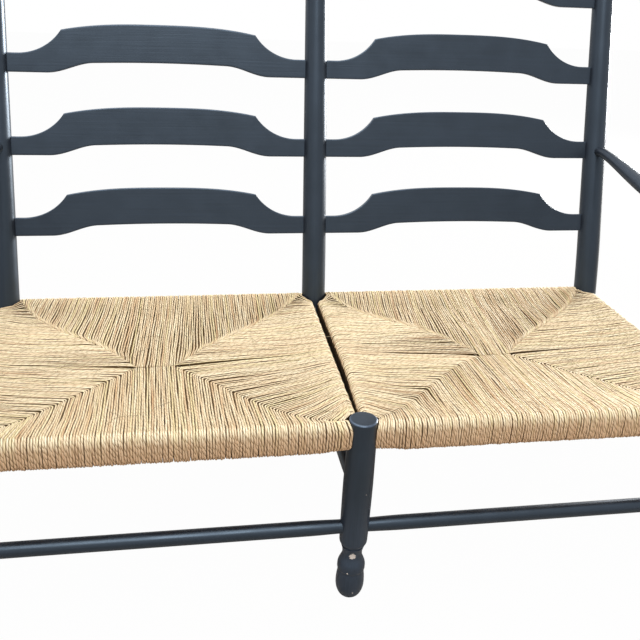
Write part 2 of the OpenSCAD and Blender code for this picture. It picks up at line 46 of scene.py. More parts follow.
import bmesh
import bpy
import numpy as np
from mathutils import Vector

bl_info = {
    "name": "Ladder-back Bench",
    "version": (1, 0, 0),
    "blender": (4, 5, 0),
    "location": "3D View > Sidebar > Bench",
    "description": "Builds a double ladder-back bench with wound rush seats over its CAD frame",
    "category": "Add Mesh",
}

SIDES = (("left", -1), ("right", 1))
QUARTER = math.pi / 2
LEG_CENTRE = (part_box("front_leg_centre")[0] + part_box("front_leg_centre")[1]) / 2


def linear(code):
    """An sRGB hex colour as linear red, green and blue."""
    parts = [int(code[i:i + 2], 16) / 255 for i in (1, 3, 5)]
    return tuple(c / 12.92 if c <= 0.04045 else ((c + 0.055) / 1.055) ** 2.4 for c in parts)


def length(name, description, default):
    """A length property in metres."""
    return bpy.props.FloatProperty(
        name=name, description=description, default=default, min=0.0, precision=4,
        subtype="DISTANCE", unit="LENGTH")


def colour(name, description, code):
    """A colour property, given as an sRGB hex value."""
    return bpy.props.FloatVectorProperty(
        name=name, description=description, subtype="COLOR", size=3, min=0.0, max=1.0,
        default=linear(code))


class BENCH_PG_sizes(bpy.types.PropertyGroup):
    """Sizes of the bench, as the CAD part has them."""
    bay_width: length("Bay width", "Centre post to outer post, axis to axis", 0.62)
    seat_depth: length("Seat depth", "Front legs' axes to the rear posts' axes at the rush", 0.491)
    splay: length("Splay", "How much wider the seat is in front, on each side", 0.036)
    seat_height: length("Seat height", "Floor to the top of the centre leg", 0.363)
    post_radius: length("Post radius", "Radius of a rear post at the seat", 0.0242)
    post_top_radius: length("Post top radius", "Radius of a rear post under its finial", 0.0212)
    post_foot_radius: length("Post foot radius", "Radius of a rear post just above the floor", 0.0205)
    bend_start: length("Bend start", "Height at which a post begins to lean back", 0.05)
    back_start: length("Straight back start", "Height at which the straight, raked back begins", 0.475)
    back_lean: bpy.props.FloatProperty(
        name="Back lean", description="Rake of the straight back", subtype="ANGLE", unit="ROTATION",
        default=math.radians(14.5), min=0.0, max=0.6)
    slat_first: length("First slat", "Straight back's start to the bottom of the lowest slat", 0.0124)
    slat_pitch: length("Slat pitch", "Slat to slat along the back", 0.158)
    slat_thickness: length("Slat thickness", "Thickness of the sawn slats", 0.009)
    leg_radius: length("Leg radius", "Largest radius of a front leg", 0.0253)
    roll_height: length("Roll height", "Height of the rush roll round a rail, over the cords' middles", 0.049)
    roll_thickness: length("Roll thickness", "Thickness of the outer rolls, over the cords' middles", 0.029)
    middle_roll_thickness: length("Middle roll", "Thickness of the two middle rolls", 0.020)
    roll_middle: length("Roll level", "Height of the rails' middles", 0.3335)
    middle_roll_x: length("Middle roll place", "Centre line to the axis of a middle roll", 0.01675)
    panel_dip: length("Panel dip", "How far the woven panel lies under the rolls", 0.005)
    twist_pitch: length("Twist", "Length of one whole turn of a cord's two strands", 0.027)


class BENCH_PG_finish(bpy.types.PropertyGroup):
    """Colours of the paint and the rush."""
    paint: colour("Paint", "Body colour of the paint", "#15171c")
    paint_thin: colour("Thin paint", "Paint where the brush left it thin", "#1e232c")
    bare_wood: colour("Bare wood", "Wood that shows where the paint is chipped", "#dccfc4")
    rail_wood: colour("Rail wood", "Bare wood of the rails inside the rush", "#5d4329")
    # Bleached by wear, and also the colour of the painted highlight on the cords' crowns
    rush_bleached_lit: colour("Bleached rush", "Cords that lie highest", "#f5ecd0")
    rush_pale: colour("Pale rush", "Lightest leaves of the rush", "#f5ebcf")
    rush_mid: colour("Rush", "Most of the rush", "#d5bf97")
    rush_dark: colour("Dark rush", "Oldest, brownest leaves", "#b98c62")
    rush_green: colour("Green rush", "Leaves cut green", "#d2c08c")
    # Painted shade on the rolls' outer faces and underside
    rush_brown_shade: colour("Browned rush", "The rolls' outer faces", "#e2b68e")
    rush_gap: colour("Rush gap", "Rush between the strands, where no light gets in", "#806038")
    stuffing: colour("Stuffing", "Chopped rush that pads the seats", "#9a7a4c")
    floor: colour("Floor", "Pale studio floor", "#a6a29c")


def eased(t):
    """Smooth step from 0 to 1."""
    t = np.clip(t, 0, 1)
    return t * t * (3 - 2 * t)


def lerp(low, high, share):
    """The value that lies a share of the way from low to high."""
    return low + (high - low) * share


class BenchLines:
    """The lines that the pieces are drawn on, from the sizes. Here Y is 0 on the posts' axes at the rush."""

    # A front leg's foot, upwards: flat, egg, pinch, ring, neck, flare, groove and the shaft to its belly
    foot = SimpleNamespace(
        flat=0.010, egg=0.025, egg_z=0.029, pinch=0.0224, pinch_z=0.056, ring=0.0243, ring_z=0.0665,
        neck=0.0172, neck_z=0.0925, flare=0.020, flare_z=0.108, groove=0.0188, shaft_z=0.1125, shaft=0.0242,
        round_h=0.009, belly_z=0.24)
    # The centre leg's top, with its wear, and the outer legs' bead and the round under the arm
    top = SimpleNamespace(radius=0.0236, worn_in=0.0042, worn_down=0.0034)
    bead = SimpleNamespace(rise=0.024, height=0.009, radius=0.026, arm_post=0.0155)
    # A slat's outline: heights over its lower edge, and how far in from the posts' axes each curve starts
    slat = SimpleNamespace(
        end=0.036, crown=0.095, shoulder=0.081, power=2.8, shoulder_in=0.123, cove_in=0.04, belly=0.0224,
        belly_fall=0.0024, ogee_in=0.093, ogee_w=0.092, web=0.004)
    # A finial, from the top slat up: shoulder, neck, collar, ball and tip
    finial = SimpleNamespace(
        over=0.022, neck=0.011, neck_h=0.017, collar=0.0155, collar_h=0.005, ball=0.0175, tip=0.004,
        tip_h=0.005, shoulder_h=0.0085)
    # An arm: its height in front, its rise and dip at the post, its root, section and nose; _f are shares
    arm = SimpleNamespace(
        z=0.618, rise=0.045, dip=0.009, dip_f=0.04, root=0.010, root_l=0.017, width=0.054, thick=0.028,
        nose=0.044, full_w=0.57, full_t=0.33)
    # Radii and heights of the stretchers
    bars = SimpleNamespace(front_r=0.013, side_r=0.0115, front_z=0.148, rear_z=0.17, side_z=0.216)

    def __init__(self, sizes):
        self.s = sizes
        self.shift_y = LEG_CENTRE.y + sizes.seat_depth
        self.roll_top = sizes.roll_middle + sizes.roll_height / 2
        cord_radius = 0.002
        self.rush_top = self.roll_top + cord_radius
        self.bend_r = (sizes.back_start - sizes.bend_start) / math.sin(sizes.back_lean)
        self.foot_y = self.bend_r * (math.cos(self.lean_at(self.rush_top)) - 1)
        self.back_y = self.post_y(sizes.back_start)
        self.rail_y = self.post_y(sizes.roll_middle)
        self.front_x = sizes.bay_width + sizes.splay
        top_crown = sizes.slat_first + 3 * sizes.slat_pitch + self.slat.crown
        self.shoulder_s = top_crown + self.finial.over
        arm, lean = self.arm, sizes.back_lean
        root_s = (arm.z + arm.rise - arm.dip - sizes.back_start) / math.cos(lean)
        face = self.post_r_at(root_s)
        self.root_y = self.back_y + root_s * math.sin(lean) - face * math.cos(lean)
        self.root_z = sizes.back_start + root_s * math.cos(lean) + face * math.sin(lean)
        self.arm_run = sizes.seat_depth + self.root_y
        self.nose_f = 1 + arm.nose / self.arm_run

    def lean_at(self, z):
        """Lean of a rear post at height z."""
        return math.asin(max(0.0, z - self.s.bend_start) / self.bend_r)

    def post_y(self, z):
        """Y of a rear post's axis at height z, up to the straight back."""
        return self.foot_y + self.bend_r * (1 - math.cos(self.lean_at(z)))

    def back_point(self, x, s):
        """A point on the straight back's middle line, s up from its start."""
        lean = self.s.back_lean
        return (x, self.back_y + s * math.sin(lean), self.s.back_start + s * math.cos(lean))

    def post_r_at(self, s):
        """Radius of a rear post at s along its straight back."""
        return lerp(self.s.post_radius, self.s.post_top_radius, s / self.shoulder_s)

    def leg_r_at(self, z):
        """Radius of a front leg's shaft at height z."""
        foot, widest = self.foot, self.s.leg_radius
        if z < foot.belly_z:
            share = (z - foot.shaft_z) / (foot.belly_z - foot.shaft_z)
            return lerp(foot.shaft, widest, math.sin(max(0.0, share) * QUARTER))
        return lerp(widest, self.top.radius, (z - foot.belly_z) / (self.s.seat_height - foot.belly_z))

    def slat_top(self, x):
        """Top edge of a slat, x from the middle of its bay."""
        slat, x = self.slat, abs(x)
        half = self.s.bay_width / 2
        shoulder_x, cove_x = half - slat.shoulder_in, half - slat.cove_in
        if x <= shoulder_x:
            return lerp(slat.crown, slat.shoulder, (x / shoulder_x) ** slat.power)
        run, rise = cove_x - shoulder_x, slat.shoulder - slat.end
        radius = (run * run + rise * rise) / (2 * rise)
        if x < cove_x:
            return slat.end + radius - math.sqrt(radius * radius - (cove_x - x) ** 2)
        return slat.end

    def slat_bottom(self, x):
        """Bottom edge of a slat, x from the middle of its bay."""
        slat, x = self.slat, abs(x)
        end = self.s.bay_width / 2 - slat.ogee_in
        start = end - slat.ogee_w
        if x <= start:
            return slat.belly - slat.belly_fall * (x / start) ** 2
        if x < end:
            high = slat.belly - slat.belly_fall
            return high * (1 + math.cos(math.pi * (x - start) / slat.ogee_w)) / 2
        return 0.0

    def arm_point(self, f):
        """Middle line of an arm: 0 at the rear post's face and 1 over the front leg."""
        arm = self.arm
        drop = self.root_z - arm.z + arm.dip
        return np.array([
            self.s.bay_width + self.s.splay * min(f, 1), self.root_y - self.arm_run * f,
            arm.z + drop * (1 - f) ** 2 - arm.dip * math.exp(-f / arm.dip_f)])

    def row(self, points, side=1):
        """Points moved from these lines to the row's own frame, mirrored for the left-hand side."""
        points = np.array(points, float)
        points[..., 0] *= side
        points[..., 1] += self.shift_y
        return points


def add_node(tree, kind, links=(), out=0, **settings):
    """Adds one node and gives the output asked for, or all of them. Settings are the node's own properties,
    links its inputs, by name or in their order, each a value or an output."""
    made = tree.nodes.new(kind)
    for name, value in settings.items():
        setattr(made, name, value)
    for name, value in links.items() if isinstance(links, dict) else enumerate(links):
        if isinstance(value, bpy.types.NodeSocket):
            tree.links.new(value, made.inputs[name])
        else:
            made.inputs[name].default_value = value
    return made.outputs if out is None or not made.outputs else made.outputs[out]


def emptied(holder):
    """Clears the node tree of a new material or world, and gives add_node for that tree."""
    holder.use_nodes = True
    holder.node_tree.nodes.clear()
    return partial(add_node, holder.node_tree)


def note(mesh, label, numbers):
    """Writes a number or a direction for each point on a mesh."""
    kind, part = ("FLOAT_VECTOR", "vector") if numbers.ndim == 2 else ("FLOAT", "value")
    attribute = mesh.attributes.new(label, kind, "POINT")
    attribute.data.foreach_set(part, numbers.astype(np.float32).ravel())


def path_mesh(name, paths, values):
    """A mesh of edges, one chain for each path, with the values' numbers or directions at its points."""
    points = np.concatenate(paths)
    edges, first = [], 0
    for path in paths:
        edges += [(first + i, first + i + 1) for i in range(len(path) - 1)]
        first += len(path)
    mesh = bpy.data.meshes.new(name)
    mesh.from_pydata(points.tolist(), edges, [])
    for label, numbers in values.items():
        note(mesh, label, np.concatenate(numbers))
    return mesh


def outward(mesh):
    """Turns a closed mesh's faces outwards."""
    shape = bmesh.new()
    shape.from_mesh(mesh)
    if shape.calc_volume(signed=True) < 0:
        bmesh.ops.reverse_faces(shape, faces=shape.faces)
        shape.to_mesh(mesh)
    shape.free()
    return mesh


def baked(name, path, tree, settings):
    """Runs a tree on a path and keeps the result as a plain mesh."""
    guide = bpy.data.objects.new(name + "_path", path)
    bpy.context.scene.collection.objects.link(guide)
    modifier = guide.modifiers.new("Build", "NODES")
    modifier.node_group = tree
    for item in tree.interface.items_tree:
        if item.item_type == "SOCKET" and item.in_out == "INPUT" and item.name in settings:
            modifier[item.identifier] = settings[item.name]
    graph = bpy.context.evaluated_depsgraph_get()
    mesh = bpy.data.meshes.new_from_object(guide.evaluated_get(graph))
    bpy.data.objects.remove(guide)
    mesh.name = name
    if not mesh.polygons:
        raise RuntimeError(f"{name}: the tree made no faces")
    return outward(mesh)


def place(name, mesh, nodes):
    """Makes the finished mesh a piece that stands for CAD nodes and rides on the bench."""
    piece = bpy.data.objects.new(name, mesh)
    bpy.context.scene.collection.objects.link(piece)
    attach(piece, "root")
    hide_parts(*nodes)
    return piece


def swept(name, rings, material, notes, smooth_angle):
    """A closed mesh through rings of points, with the notes' numbers or directions at its points."""
    count, around = rings.shape[:2]
    faces = []
    # Quads between each ring and the next, and a flat face on each end
    for a in range(0, (count - 1) * around, around):
        for j in range(around):
            k = (j + 1) % around
            faces.append((a + j, a + k, a + around + k, a + around + j))
    faces.append(tuple(reversed(range(around))))
    faces.append(tuple((count - 1) * around + j for j in range(around)))
    mesh = bpy.data.meshes.new(name)
    mesh.from_pydata(rings.reshape(-1, 3).tolist(), [], faces)
    for label, numbers in notes.items():
        note(mesh, label, numbers)
    outward(mesh)
    mesh.shade_smooth()
    mesh.set_sharp_from_angle(angle=math.radians(smooth_angle))
    mesh.materials.append(material)
    return mesh


def grain_of(add):
    """The grain of a turned piece: the place across it, and the way along it as the third part."""
    turn = add("GeometryNodeInputNamedAttribute", {"Name": "turn"}, data_type="FLOAT_VECTOR")
    girth, along = (add("GeometryNodeInputNamedAttribute", {"Name": name}) for name in ("girth", "along"))
    across = add("ShaderNodeVectorMath", {"Vector": turn, "Scale": girth}, operation="SCALE")
    upright = add("ShaderNodeCombineXYZ", {"Z": along})
    return "grain", add("ShaderNodeVectorMath", (across, upright)), "FLOAT_VECTOR"


def facing_of(add):
    """How squarely rush looks out of the seat: 1 on a cord's crown, 0 where it touches the next cord."""
    crown = add("GeometryNodeInputNamedAttribute", {"Name": "crown"}, data_type="FLOAT_VECTOR")
    pair = add("GeometryNodeInputNormal"), crown
    return "facing", add("ShaderNodeVectorMath", pair, "Value", operation="DOT_PRODUCT"), "FLOAT"


def sweep_tree(name, extra):
    """Geometry Nodes: sweeps a circle along paths, as wide as their points' girth. It keeps how far along and
    how far round each point is, and one value more."""
    tree = bpy.data.node_groups.get(name)
    if tree:
        return tree
    tree = bpy.data.node_groups.new(name, "GeometryNodeTree")
    tree.interface.new_socket("Geometry", in_out="OUTPUT", socket_type="NodeSocketGeometry")
    for label, kind in (("Path", "Geometry"), ("Sides", "Int"), ("Offset", "Float"), ("Finish", "Material")):
        tree.interface.new_socket(label, in_out="INPUT", socket_type="NodeSocket" + kind)
    add = partial(add_node, tree)
    given = add("NodeGroupInput", out=None)
    run = add("ShaderNodeMath", (add("GeometryNodeSplineParameter", out="Length"), given["Offset"]))
    path = add("GeometryNodeStoreNamedAttribute", {
        "Geometry": add("GeometryNodeMeshToCurve", {"Mesh": given["Path"]}), "Name": "along", "Value": run})
    circle = add("GeometryNodeCurvePrimitiveCircle", {"Resolution": given["Sides"], "Radius": 1.0})
    circle = add("GeometryNodeStoreNamedAttribute", {
        "Geometry": circle, "Name": "turn", "Value": add("GeometryNodeInputPosition")},
        data_type="FLOAT_VECTOR")
    girth = add("GeometryNodeInputNamedAttribute", {"Name": "girth"})
    sweep = add("GeometryNodeCurveToMesh", {
        "Curve": path, "Profile Curve": circle, "Scale": girth, "Fill Caps": True})
    label, value, kind = extra(add)
    kept = add("GeometryNodeStoreNamedAttribute", {
        "Geometry": sweep, "Name": label, "Value": value}, data_type=kind)
    smooth = add("GeometryNodeSetShadeSmooth", {"Geometry": kept})
    real = add("GeometryNodeRealizeInstances", {"Geometry": smooth})
    coat = add("GeometryNodeSetMaterial", {"Geometry": real, "Material": given["Finish"]})
    add("NodeGroupOutput", {"Geometry": coat})
    return tree


def painted_wood(finish, name="Satin paint on turned maple", follows_grain=True, chips=()):
    """Brushed satin paint: a smooth, nearly black blue whose streaks run with the wood, thin and lightened as
    a painted highlight on the edges.
    """
    found = bpy.data.materials.get(name)
    if found:
        return found
    material = bpy.data.materials.new(name)
    add = emptied(material)
    spot = add("ShaderNodeTexCoord", out="Object")
    source = add("ShaderNodeAttribute", out="Vector", attribute_name="grain") if follows_grain else spot
    # Brush hairs about 1.5 mm apart and 80 mm long: drawn coarser than real ones so that they show
    streaks = add("ShaderNodeMapping", {"Vector": source, "Scale": (650, 650, 14)})
    hair = add("ShaderNodeTexNoise", {"Vector": streaks, "Scale": 1.0, "Detail": 3.0})
    # Open grain of the wood under the paint, 4 mm wide and 200 mm long
    fibres = add("ShaderNodeMapping", {"Vector": source, "Scale": (240, 240, 5)})
    wood = add("ShaderNodeTexNoise", {"Vector": fibres, "Scale": 1.0, "Detail": 4.0, "Distortion": 0.6})
    # Broad unevenness of a hand-painted coat, some 50 mm across
    cloud = add("ShaderNodeTexNoise", {"Vector": source, "Scale": 20.0, "Detail": 3.0})
    # Hands and cloths have rubbed the edges, and the pale lines along them are also a painted highlight for
    # the light that rounded edges catch
    edge = add("ShaderNodeAttribute", out="Fac", attribute_name="edge")
    rubbed_and_lit = add("ShaderNodeMath", (edge, hair), operation="MULTIPLY")
    # Each coat is the share that it covers and its colour
    coats = [
        (add("ShaderNodeMapRange", (wood, 0.35, 0.75, 0.0, 0.55)), finish.paint_thin),
        (add("ShaderNodeMapRange", (cloud, 0.4, 0.7, 0.0, 0.35)), finish.paint_thin),
        # Rubbed edges, lightened further as a painted highlight
        (rubbed_and_lit, [min(1, c * 4.4) for c in finish.paint_thin])]
    # Chips with a jagged rim show the bare wood
    jagged = add("ShaderNodeTexNoise", {"Vector": spot, "Scale": 420.0})
    for x, y, z, radius in chips:
        far = add("ShaderNodeVectorMath", (spot, (x, y, z)), "Value", operation="DISTANCE")
        rim = add("ShaderNodeMath", (jagged, radius * 1.6, far), operation="MULTIPLY_ADD")
        coats.append((add("ShaderNodeMath", (rim, radius * 1.7), operation="LESS_THAN"), finish.bare_wood))
    body = (*finish.paint, 1)
    for share, shade in coats:
        body = add("ShaderNodeMix", {0: share, 6: body, 7: (*shade, 1)}, 2, data_type="RGBA")
    # A satin gloss, uneven as the coat is, that takes the cool light of the sky
    gloss = add("ShaderNodeMapRange", (cloud, 0.3, 0.7, 0.32, 0.44))
    ridges = add("ShaderNodeBump", {"Height": hair, "Strength": 0.12, "Distance": 0.0004})
    pores = add("ShaderNodeBump", {"Height": wood, "Strength": 0.25, "Distance": 0.0006, "Normal": ridges})
    shader = add("ShaderNodeBsdfPrincipled", {
        "Base Color": body, "Roughness": gloss, "IOR": 1.5, "Specular IOR Level": 0.7,
        "Specular Tint": (0.6, 0.79, 1.0, 1), "Normal": pores})
    add("ShaderNodeOutputMaterial", {"Surface": shader})
    return material


def bare_maple(finish):
    """Unpainted maple rails, darkened by age: a dull brown that closes the view between two cords."""
    material = bpy.data.materials.new("Bare maple rails")
    add = emptied(material)
    # Saw marks and grain some 3 mm apart
    grain = add("ShaderNodeTexNoise", {"Vector": add("ShaderNodeTexCoord", out="Object"), "Scale": 330.0})
    pale, deep = (*finish.rail_wood, 1), (*(c * 0.6 for c in finish.rail_wood), 1)
    shade = add("ShaderNodeMix", {0: grain, 6: pale, 7: deep}, 2, data_type="RGBA")
    shader = add("ShaderNodeBsdfPrincipled", {"Base Color": shade, "Roughness": 0.7})
    add("ShaderNodeOutputMaterial", {"Surface": shader})
    return material


def twisted_rush(finish, sizes):
    """Hand-twisted rush: dull, straw-coloured leaves laid round each other, painted brown as shade in the
    twist's valleys.
    """
    material = bpy.data.materials.new("Twisted rush")
    add = emptied(material)
    along, tone, facing = (
        add("ShaderNodeAttribute", out="Fac", attribute_name=name) for name in ("along", "tone", "facing"))
    turn, crown = (
        add("ShaderNodeAttribute", out="Vector", attribute_name=name) for name in ("turn", "crown"))
    turn_x, turn_y, _ = add("ShaderNodeSeparateXYZ", (turn,), None)
    up = add("ShaderNodeSeparateXYZ", (crown,), "Z")
    # Each cord is twisted a little tighter or looser than its neighbour and starts anywhere in its turn
    whole = math.pi / sizes.twist_pitch
    tightness = add("ShaderNodeMapRange", (tone, 0.0, 1.0, 1.8 * whole, 2.3 * whole))
    angle = add("ShaderNodeMath", (turn_y, turn_x), operation="ARCTAN2")
    start = add("ShaderNodeMath", (tone, 300.0, angle), operation="MULTIPLY_ADD")
    # The twist slackens and tightens again every 30 mm or so
    cord_at = add("ShaderNodeCombineXYZ", (along, tone))
    slack_at = add("ShaderNodeVectorMath", (cord_at, (33.0, 170.0, 0.0)), operation="MULTIPLY")
    slack = add("ShaderNodeTexNoise", {"Vector": slack_at, "Scale": 1.0, "Detail": 1.0})
    slackened = add("ShaderNodeMath", (slack, 9.0, start), operation="MULTIPLY_ADD")
    lay = add("ShaderNodeMath", (along, tightness, slackened), operation="MULTIPLY_ADD")
    strand = add("ShaderNodeMath", (add("ShaderNodeMath", (lay,), operation="COSINE"),), operation="ABSOLUTE")
    # Leaf fibres follow the twist: a noise on the turned angle, the length and the cord's own tone
    twist_at = add("ShaderNodeCombineXYZ", (lay, along, tone))
    fibre_at = add("ShaderNodeVectorMath", (twist_at, (2.2, 60.0, 90.0)), operation="MULTIPLY")
    fibre = add("ShaderNodeTexNoise", {"Vector": fibre_at, "Scale": 1.0, "Detail": 3.0})
    # Each leaf is 300 to 600 mm long, so a cord changes colour slowly along its way
    leaf_at = add("ShaderNodeVectorMath", (cord_at, (9.0, 300.0, 0.0)), operation="MULTIPLY")
    leaf = add("ShaderNodeTexNoise", {"Vector": leaf_at, "Scale": 1.0})
    age = add("ShaderNodeMapRange", (leaf, 0.3, 0.72, 0.0, 0.8))
    # The twist shows most on the rolls, less where cords lie side to side, least in the furrows
    across = add("ShaderNodeMapRange", (up, 0.76, 1.0, 0.36, 0.6))
    rolled = add("ShaderNodeMapRange", (up, 0.5, 0.74, 0.85, 0.36))
    twist = add("ShaderNodeMath", (across, rolled), operation="MAXIMUM")
    open_to = add("ShaderNodeMapRange", (up, 0.3, 0.74, 0.66, 0.9))
    lit = add("ShaderNodeVectorMath", (crown,), "Value", operation="LENGTH")
    # Each coat is the share that it covers and its colour
    coats = [
        (add("ShaderNodeMapRange", (fibre, 0.3, 0.7)), finish.rush_pale),
        (age, finish.rush_mid),
        # A few cords are of greener leaves, and some are browner than their neighbours all the way
        (add("ShaderNodeMapRange", (tone, 0.0, 0.3, 0.7, 0.0)), finish.rush_green),
        (add("ShaderNodeMath", (age, tone), operation="MULTIPLY"), finish.rush_dark),
        # Wear has bleached the cords' tops, those that lie highest, above all on cords that run from side to
        # side; the pale crowns are also a painted highlight
        (add("ShaderNodeMapRange", (facing, 0.74, 1.0, 0.0, 0.45)), finish.rush_bleached_lit),
        # Painted shade: the rolls' outer faces and the underside, turned away from the light above, are
        # painted browner; the top stays pale
        (add("ShaderNodeMapRange", (up, -0.3, 0.66, 0.8, 0.0)), finish.rush_brown_shade),
        # Painted shade in the valleys between a cord's two strands
        (add("ShaderNodeMapRange", (strand, 0.0, 0.66, twist, 0.0)), finish.rush_gap),
        # Painted shade in between two cords, where light hardly reaches
        (add("ShaderNodeMapRange", (facing, 0.05, open_to, 1.0, 0.0), interpolation_type="SMOOTHSTEP"),
         [c * 0.42 for c in finish.rush_gap]),
        # No light reaches down between the two seats
        (add("ShaderNodeMapRange", (lit, 0.1, 0.6, 0.93, 0.0)), [c * 0.03 for c in finish.rush_gap])]
    body = (*finish.rush_mid, 1)
    for share, shade in coats:
        body = add("ShaderNodeMix", {0: share, 6: body, 7: (*shade, 1)}, 2, data_type="RGBA")
    relief = add("ShaderNodeBump", {"Height": strand, "Strength": 0.7, "Distance": 0.0009})
    fine = add("ShaderNodeBump", {"Height": fibre, "Strength": 0.4, "Distance": 0.0004, "Normal": relief})
    shader = add("ShaderNodeBsdfPrincipled", {
        "Base Color": body, "Roughness": 0.62, "IOR": 1.45, "Specular IOR Level": 0.35, "Normal": fine})
    add("ShaderNodeOutputMaterial", {"Surface": shader})
    return material


def chopped_rush(finish):
    """Chopped rush stuffing: a dull mat of short brown leaves inside each seat."""
    material = bpy.data.materials.new("Chopped rush stuffing")
    add = emptied(material)
    # Leaves some 15 mm long and 3 to 5 mm wide, lying askew
    lying = add("ShaderNodeMapping", {
        "Vector": add("ShaderNodeTexCoord", out="Object"), "Scale": (60, 300, 200), "Rotation": (0, 0, 0.6)})
    straw = add("ShaderNodeTexVoronoi", {"Vector": lying, "Scale": 1.0}, "Distance")
    pale, deep = (*finish.stuffing, 1), (*finish.rush_gap, 1)
    shade = add("ShaderNodeMix", {0: straw, 6: pale, 7: deep}, 2, data_type="RGBA")
    relief = add("ShaderNodeBump", {"Height": straw, "Strength": 0.6, "Distance": 0.002})
    shader = add("ShaderNodeBsdfPrincipled", {"Base Color": shade, "Roughness": 0.85, "Normal": relief})
    add("ShaderNodeOutputMaterial", {"Surface": shader})
    return material


def turned_piece(name, path, girth, edge, material, sides, offset):
    """A piece turned round a path, replacing the CAD node of its name. Its offset moves its brush marks."""
    guide = path_mesh(name, [path], {"girth": [np.asarray(girth, float)], "edge": [np.asarray(edge, float)]})
    mesh = baked(name, guide, sweep_tree("Turned piece", grain_of), {
        "Sides": sides, "Offset": offset, "Finish": material})
    mesh.set_sharp_from_angle(angle=math.radians(34))
    place(name, mesh, [name])


def spread(count, shape, low=0.0, high=1.0, skip=1):
    """Rows of a turning: what shape gives for numbers from low to high, without the first few."""
    return [shape(t) for t in np.linspace(low, high, count)[skip:]]


def foot_turning(lines):
    """Radius, height and edge wear, lightened also as a painted highlight, up a front leg, from the floor to
    the widest part of its shaft.
    """
    foot, sin, cos = lines.foot, math.sin, math.cos
    ring_foot, step = (foot.pinch_z + foot.ring_z) / 2, foot.ring - foot.pinch

    def egg(a):
        return lerp(foot.flat, foot.egg, sin(a)), foot.egg_z * (1 - cos(a)), 0

    def pinch(t):
        return lerp(foot.egg, foot.pinch, t * t), lerp(foot.egg_z, foot.pinch_z, t), 0

    def ring(a):
        return foot.pinch + step * sin(a), ring_foot - 1.6 * step * cos(a), 0.4 * sin(a)

    def neck(t):
        radius = lerp(foot.neck, foot.ring, (1 + cos(math.pi * t)) / 2)
        return radius, lerp(foot.ring_z, foot.neck_z, t), 0.4 if t < 0.08 else 0

    def flare(t):
        return lerp(foot.neck, foot.flare, t * t), lerp(foot.neck_z, foot.flare_z, t), 1 if t > 0.93 else 0

    def shaft_end(a):
        return lerp(foot.groove, foot.shaft, sin(a)), foot.shaft_z + foot.round_h * (1 - cos(a)), 0

    def shaft(z):
        return lines.leg_r_at(z), z, 0

    return [
        *spread(22, egg, 0, QUARTER, 0), *spread(16, pinch), *spread(7, ring, 0, QUARTER),
        *spread(22, neck, skip=0), *spread(12, flare),
        (foot.groove, foot.flare_z + 0.0003, 0), (foot.groove, foot.shaft_z - 0.0001, 0),
        *spread(12, shaft_end, 0, QUARTER, 0), *spread(10, shaft, foot.shaft_z + foot.round_h, foot.belly_z)]


class BENCH_OT_front_legs(bpy.types.Operator):
    """Turns the three front legs with their egg, ring and neck, and the outer ones' tops up to the arms"""
    bl_idname = "bench.front_legs"
    bl_label = "Front legs"

    def execute(self, context):
        lines = BenchLines(context.scene.bench_sizes)
        finish, lower = context.scene.bench_finish, foot_turning(lines)
        top, bead, arm, belly = lines.top, lines.bead, lines.arm, lines.foot.belly_z
        seat = lines.s.seat_height
        top_from = seat - 0.006

        def shaft(z):
            return lines.leg_r_at(z) if z < top_from else top.radius, z, 0

        def worn_top(a):
            return (top.radius - top.worn_in * (1 - math.cos(a)), seat - top.worn_down * (1 - math.sin(a)),
                    1.5 * math.sin(2 * a) ** 2)

        # Years of hands have rounded the centre leg's top further in than it was cut
        centre = lower + spread(8, shaft, belly, seat - top.worn_down) + spread(9, worn_top, 0, QUARTER)
        # Chips on the leg's front: across, out from its axis, height and radius
        chips = ((-0.003, 0.018, 0.0950, 0.0062), (-0.011, 0.0217, 0.062, 0.0014),
                 (0.0005, 0.024, 0.020, 0.0012), (0.0094, 0.0229, 0.2284, 0.0012))
        axis_y = lines.shift_y - lines.s.seat_depth
        chipped = painted_wood(finish, "Satin paint with chips", True, [
            (x, axis_y - out, z, radius) for x, out, z, radius in chips])
        self.turn(lines, "front_leg_centre", centre, 0.0, chipped, 0.3)
        bead_z, bead_top = lines.rush_top + bead.rise, lines.rush_top + bead.rise + bead.height
        low_r = lines.leg_r_at(bead_z)
        # The post under the arm ends where its edge meets the arm's rounded underside
        seat_z = arm.z - arm.thick / 2 * math.sqrt(1 - (2 * bead.arm_post / arm.width) ** 2) + 0.001

        def bead_row(a):
            return (lerp(low_r, bead.radius, math.sin(a)), bead_z + bead.height * (1 - math.cos(a)) / 2,
                    1 if 0.8 < a < 2.3 else 0)

        def taper(t):
            return lerp(low_r, bead.arm_post, t), lerp(bead_top, seat_z, t), 0

        outer = lower + spread(12, lambda z: (lines.leg_r_at(z), z, 0), belly, bead_z)
        outer += spread(15, bead_row, 0, math.pi) + spread(16, taper)
        outer.append((bead.arm_post * 0.98, seat_z + 0.004, 0))
        for name, side in SIDES:
            self.turn(lines, "front_leg_" + name, outer, side * lines.front_x, painted_wood(finish),
                      1.7 + side * 0.4)
        return {"FINISHED"}

    def turn(self, lines, name, rows, x, material, offset):
        """One leg, standing on the floor at x."""
        path = lines.row([(x, -lines.s.seat_depth, z) for _, z, _ in rows])
        # Shoes and mops have scuffed the lower leg
        worn = [max(edge, 0.45 * eased((0.24 - z) / 0.1)) for _, z, edge in rows]
        turned_piece(name, path, [r for r, _, _ in rows], worn, material, 72, offset)


